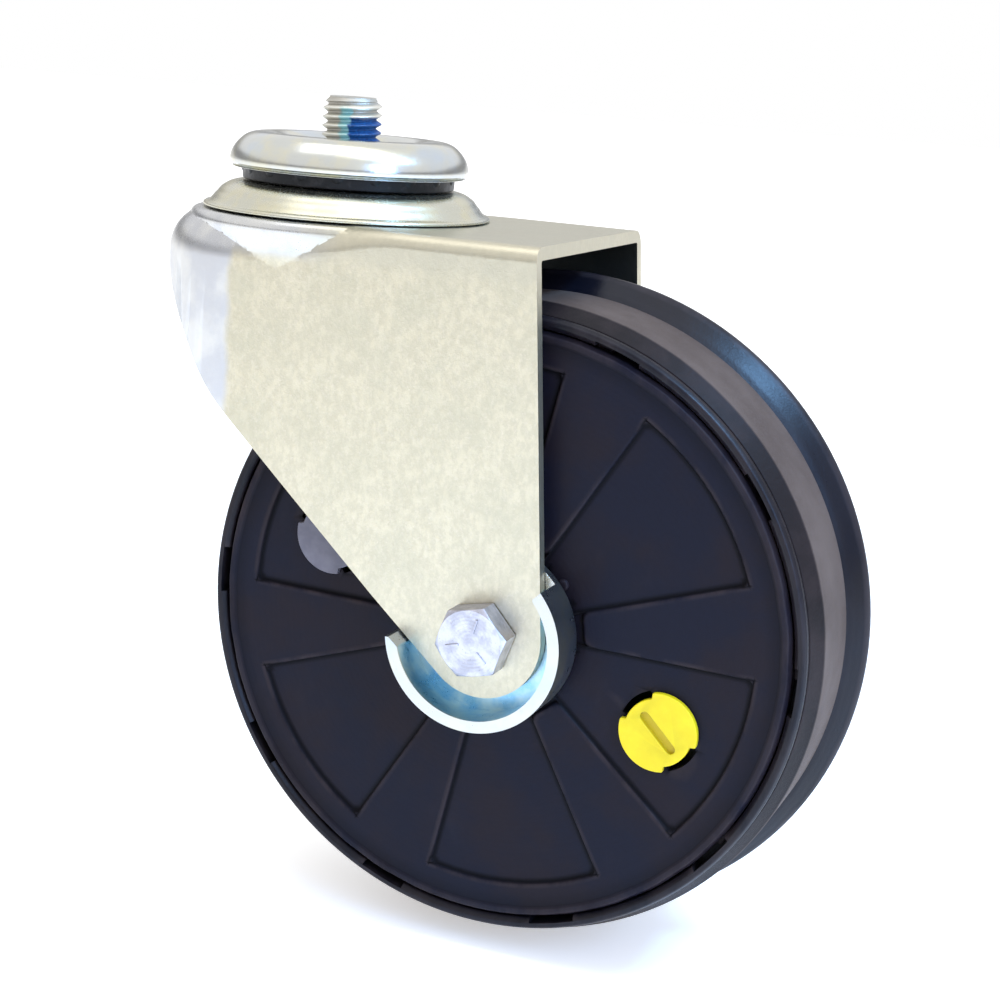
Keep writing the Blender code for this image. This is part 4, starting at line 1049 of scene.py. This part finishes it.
for finish, names in ((RACE, ("inner_race_near", "inner_race_far", "outer_race_near", "outer_race_far",
                              "axle_sleeve",
                              "brake_cam", "motor_pinion")),
                      (CAST, ("brake_drum", "brake_shoe_rear", "brake_shoe_front", "brake_motor")),
                      (LINING, ("brake_shoe_rear_lining", "brake_shoe_front_lining")),
                      (CARRIER, ("brake_carrier",)), (CELL, ("battery_cell_low", "battery_cell_front")),
                      (BOARD, ("circuit_board",))):
    for name in names:
        node = frame["nodes"][name]
        for place in node.material_slots:
            place.material = finish.material


# ---------------------------------------------------------------- floor, light and camera
def stage():
    floor_z = AXLE.z - FLANGE
    paint = Paint("pale_floor", (0.93, 0.93, 0.93), 0.0, 0.7, Emission_Strength=0.42,
                  Emission_Color=(1.0, 1.0, 1.0, 1.0))
    paint.shade(**{"Base Color": paint.mix(paint.noise(3.0, 2.0), (0.93, 0.93, 0.93), (0.95, 0.95, 0.95))})
    size = 6000.0
    floor = piece_of("floor", [(-size, -size, floor_z), (size, -size, floor_z), (size, size, floor_z),
                               (-size, size, floor_z)],
                     [(0, 1, 2, 3)])
    paint.on(floor)

    world = bpy.data.worlds.new("studio")
    bpy.context.scene.world = world
    world.use_nodes = True
    tree = world.node_tree
    room = tree.nodes["Background"]
    facing = tree.nodes.new("ShaderNodeTexCoord").outputs["Generated"]
    split = tree.nodes.new("ShaderNodeSeparateXYZ")
    tree.links.new(facing, split.inputs[0])
    level = tree.nodes.new("ShaderNodeMapRange")
    level.inputs["From Min"].default_value = -1.0
    tree.links.new(split.outputs["Z"], level.inputs["Value"])
    walls = tree.nodes.new("ShaderNodeValToRGB")
    ramp = walls.color_ramp
    for place, grey in ((0.515, 0.90), (0.545, 0.34), (0.600, 0.38), (0.65, 1.0)):
        ramp.elements.new(place).color = (grey, grey, grey * 1.02, 1.0)
    ramp.elements[0].color = (0.9, 0.9, 0.9, 1.0)
    ramp.elements[-1].color = (1.05, 1.05, 1.05, 1.0)
    tree.links.new(level.outputs[0], walls.inputs[0])
    seen = tree.nodes.new("ShaderNodeLightPath").outputs["Is Camera Ray"]
    white = tree.nodes.new("ShaderNodeMix")
    white.data_type = "RGBA"
    sockets = {socket.identifier: socket for socket in white.inputs}
    tree.links.new(seen, sockets["Factor_Float"])
    tree.links.new(walls.outputs[0], sockets["A_Color"])
    sockets["B_Color"].default_value = (1.0, 1.0, 1.0, 1.0)
    tree.links.new(next(o for o in white.outputs if o.identifier == "Result_Color"), room.inputs["Color"])
    room.inputs["Strength"].default_value = 1.0

    def lamp(name, place, aim, width, height, power, colour=(1.0, 1.0, 1.0)):
        light = bpy.data.lights.new(name, "AREA")
        light.shape, light.size, light.size_y = "RECTANGLE", width, height
        light.energy, light.color = power, colour
        made = bpy.data.objects.new(name, light)
        made.location = place
        made.rotation_euler = (Vector(aim) - Vector(place)).to_track_quat("-Z", "Y").to_euler()
        bpy.context.scene.collection.objects.link(made)

    lamp("overhead", (0.0, -0.1, 0.9), (0.0, 0.0, -0.05), 0.9, 0.6, 2.0)
    lamp("cool_side", (0.75, -0.45, 0.30), (0.05, 0.0, -0.08), 0.3, 0.5, 5.0, (0.25, 0.50, 1.0))
    lamp("cool_back", (0.55, -0.05, 0.65), (0.06, 0.0, -0.05), 0.18, 0.18, 8.0, (0.25, 0.55, 1.0))


def camera():
    data = bpy.data.cameras.new("view")
    data.lens, data.sensor_width = 70.37, 36.0
    data.clip_start = 0.01
    made = bpy.data.objects.new("view", data)
    right, up, back = (0.9250, 0.3737, 0.0694), (-0.1455, 0.1795, 0.9729), (0.3511, -0.9100, 0.2204)
    turn = Matrix((right, up, back)).transposed().to_4x4()
    made.matrix_world = Matrix.Translation((0.1779, -0.3629, 0.0177)) @ turn
    bpy.context.scene.collection.objects.link(made)
    bpy.context.scene.camera = made


stage()
camera()
bpy.context.scene.view_settings.view_transform = "Standard"
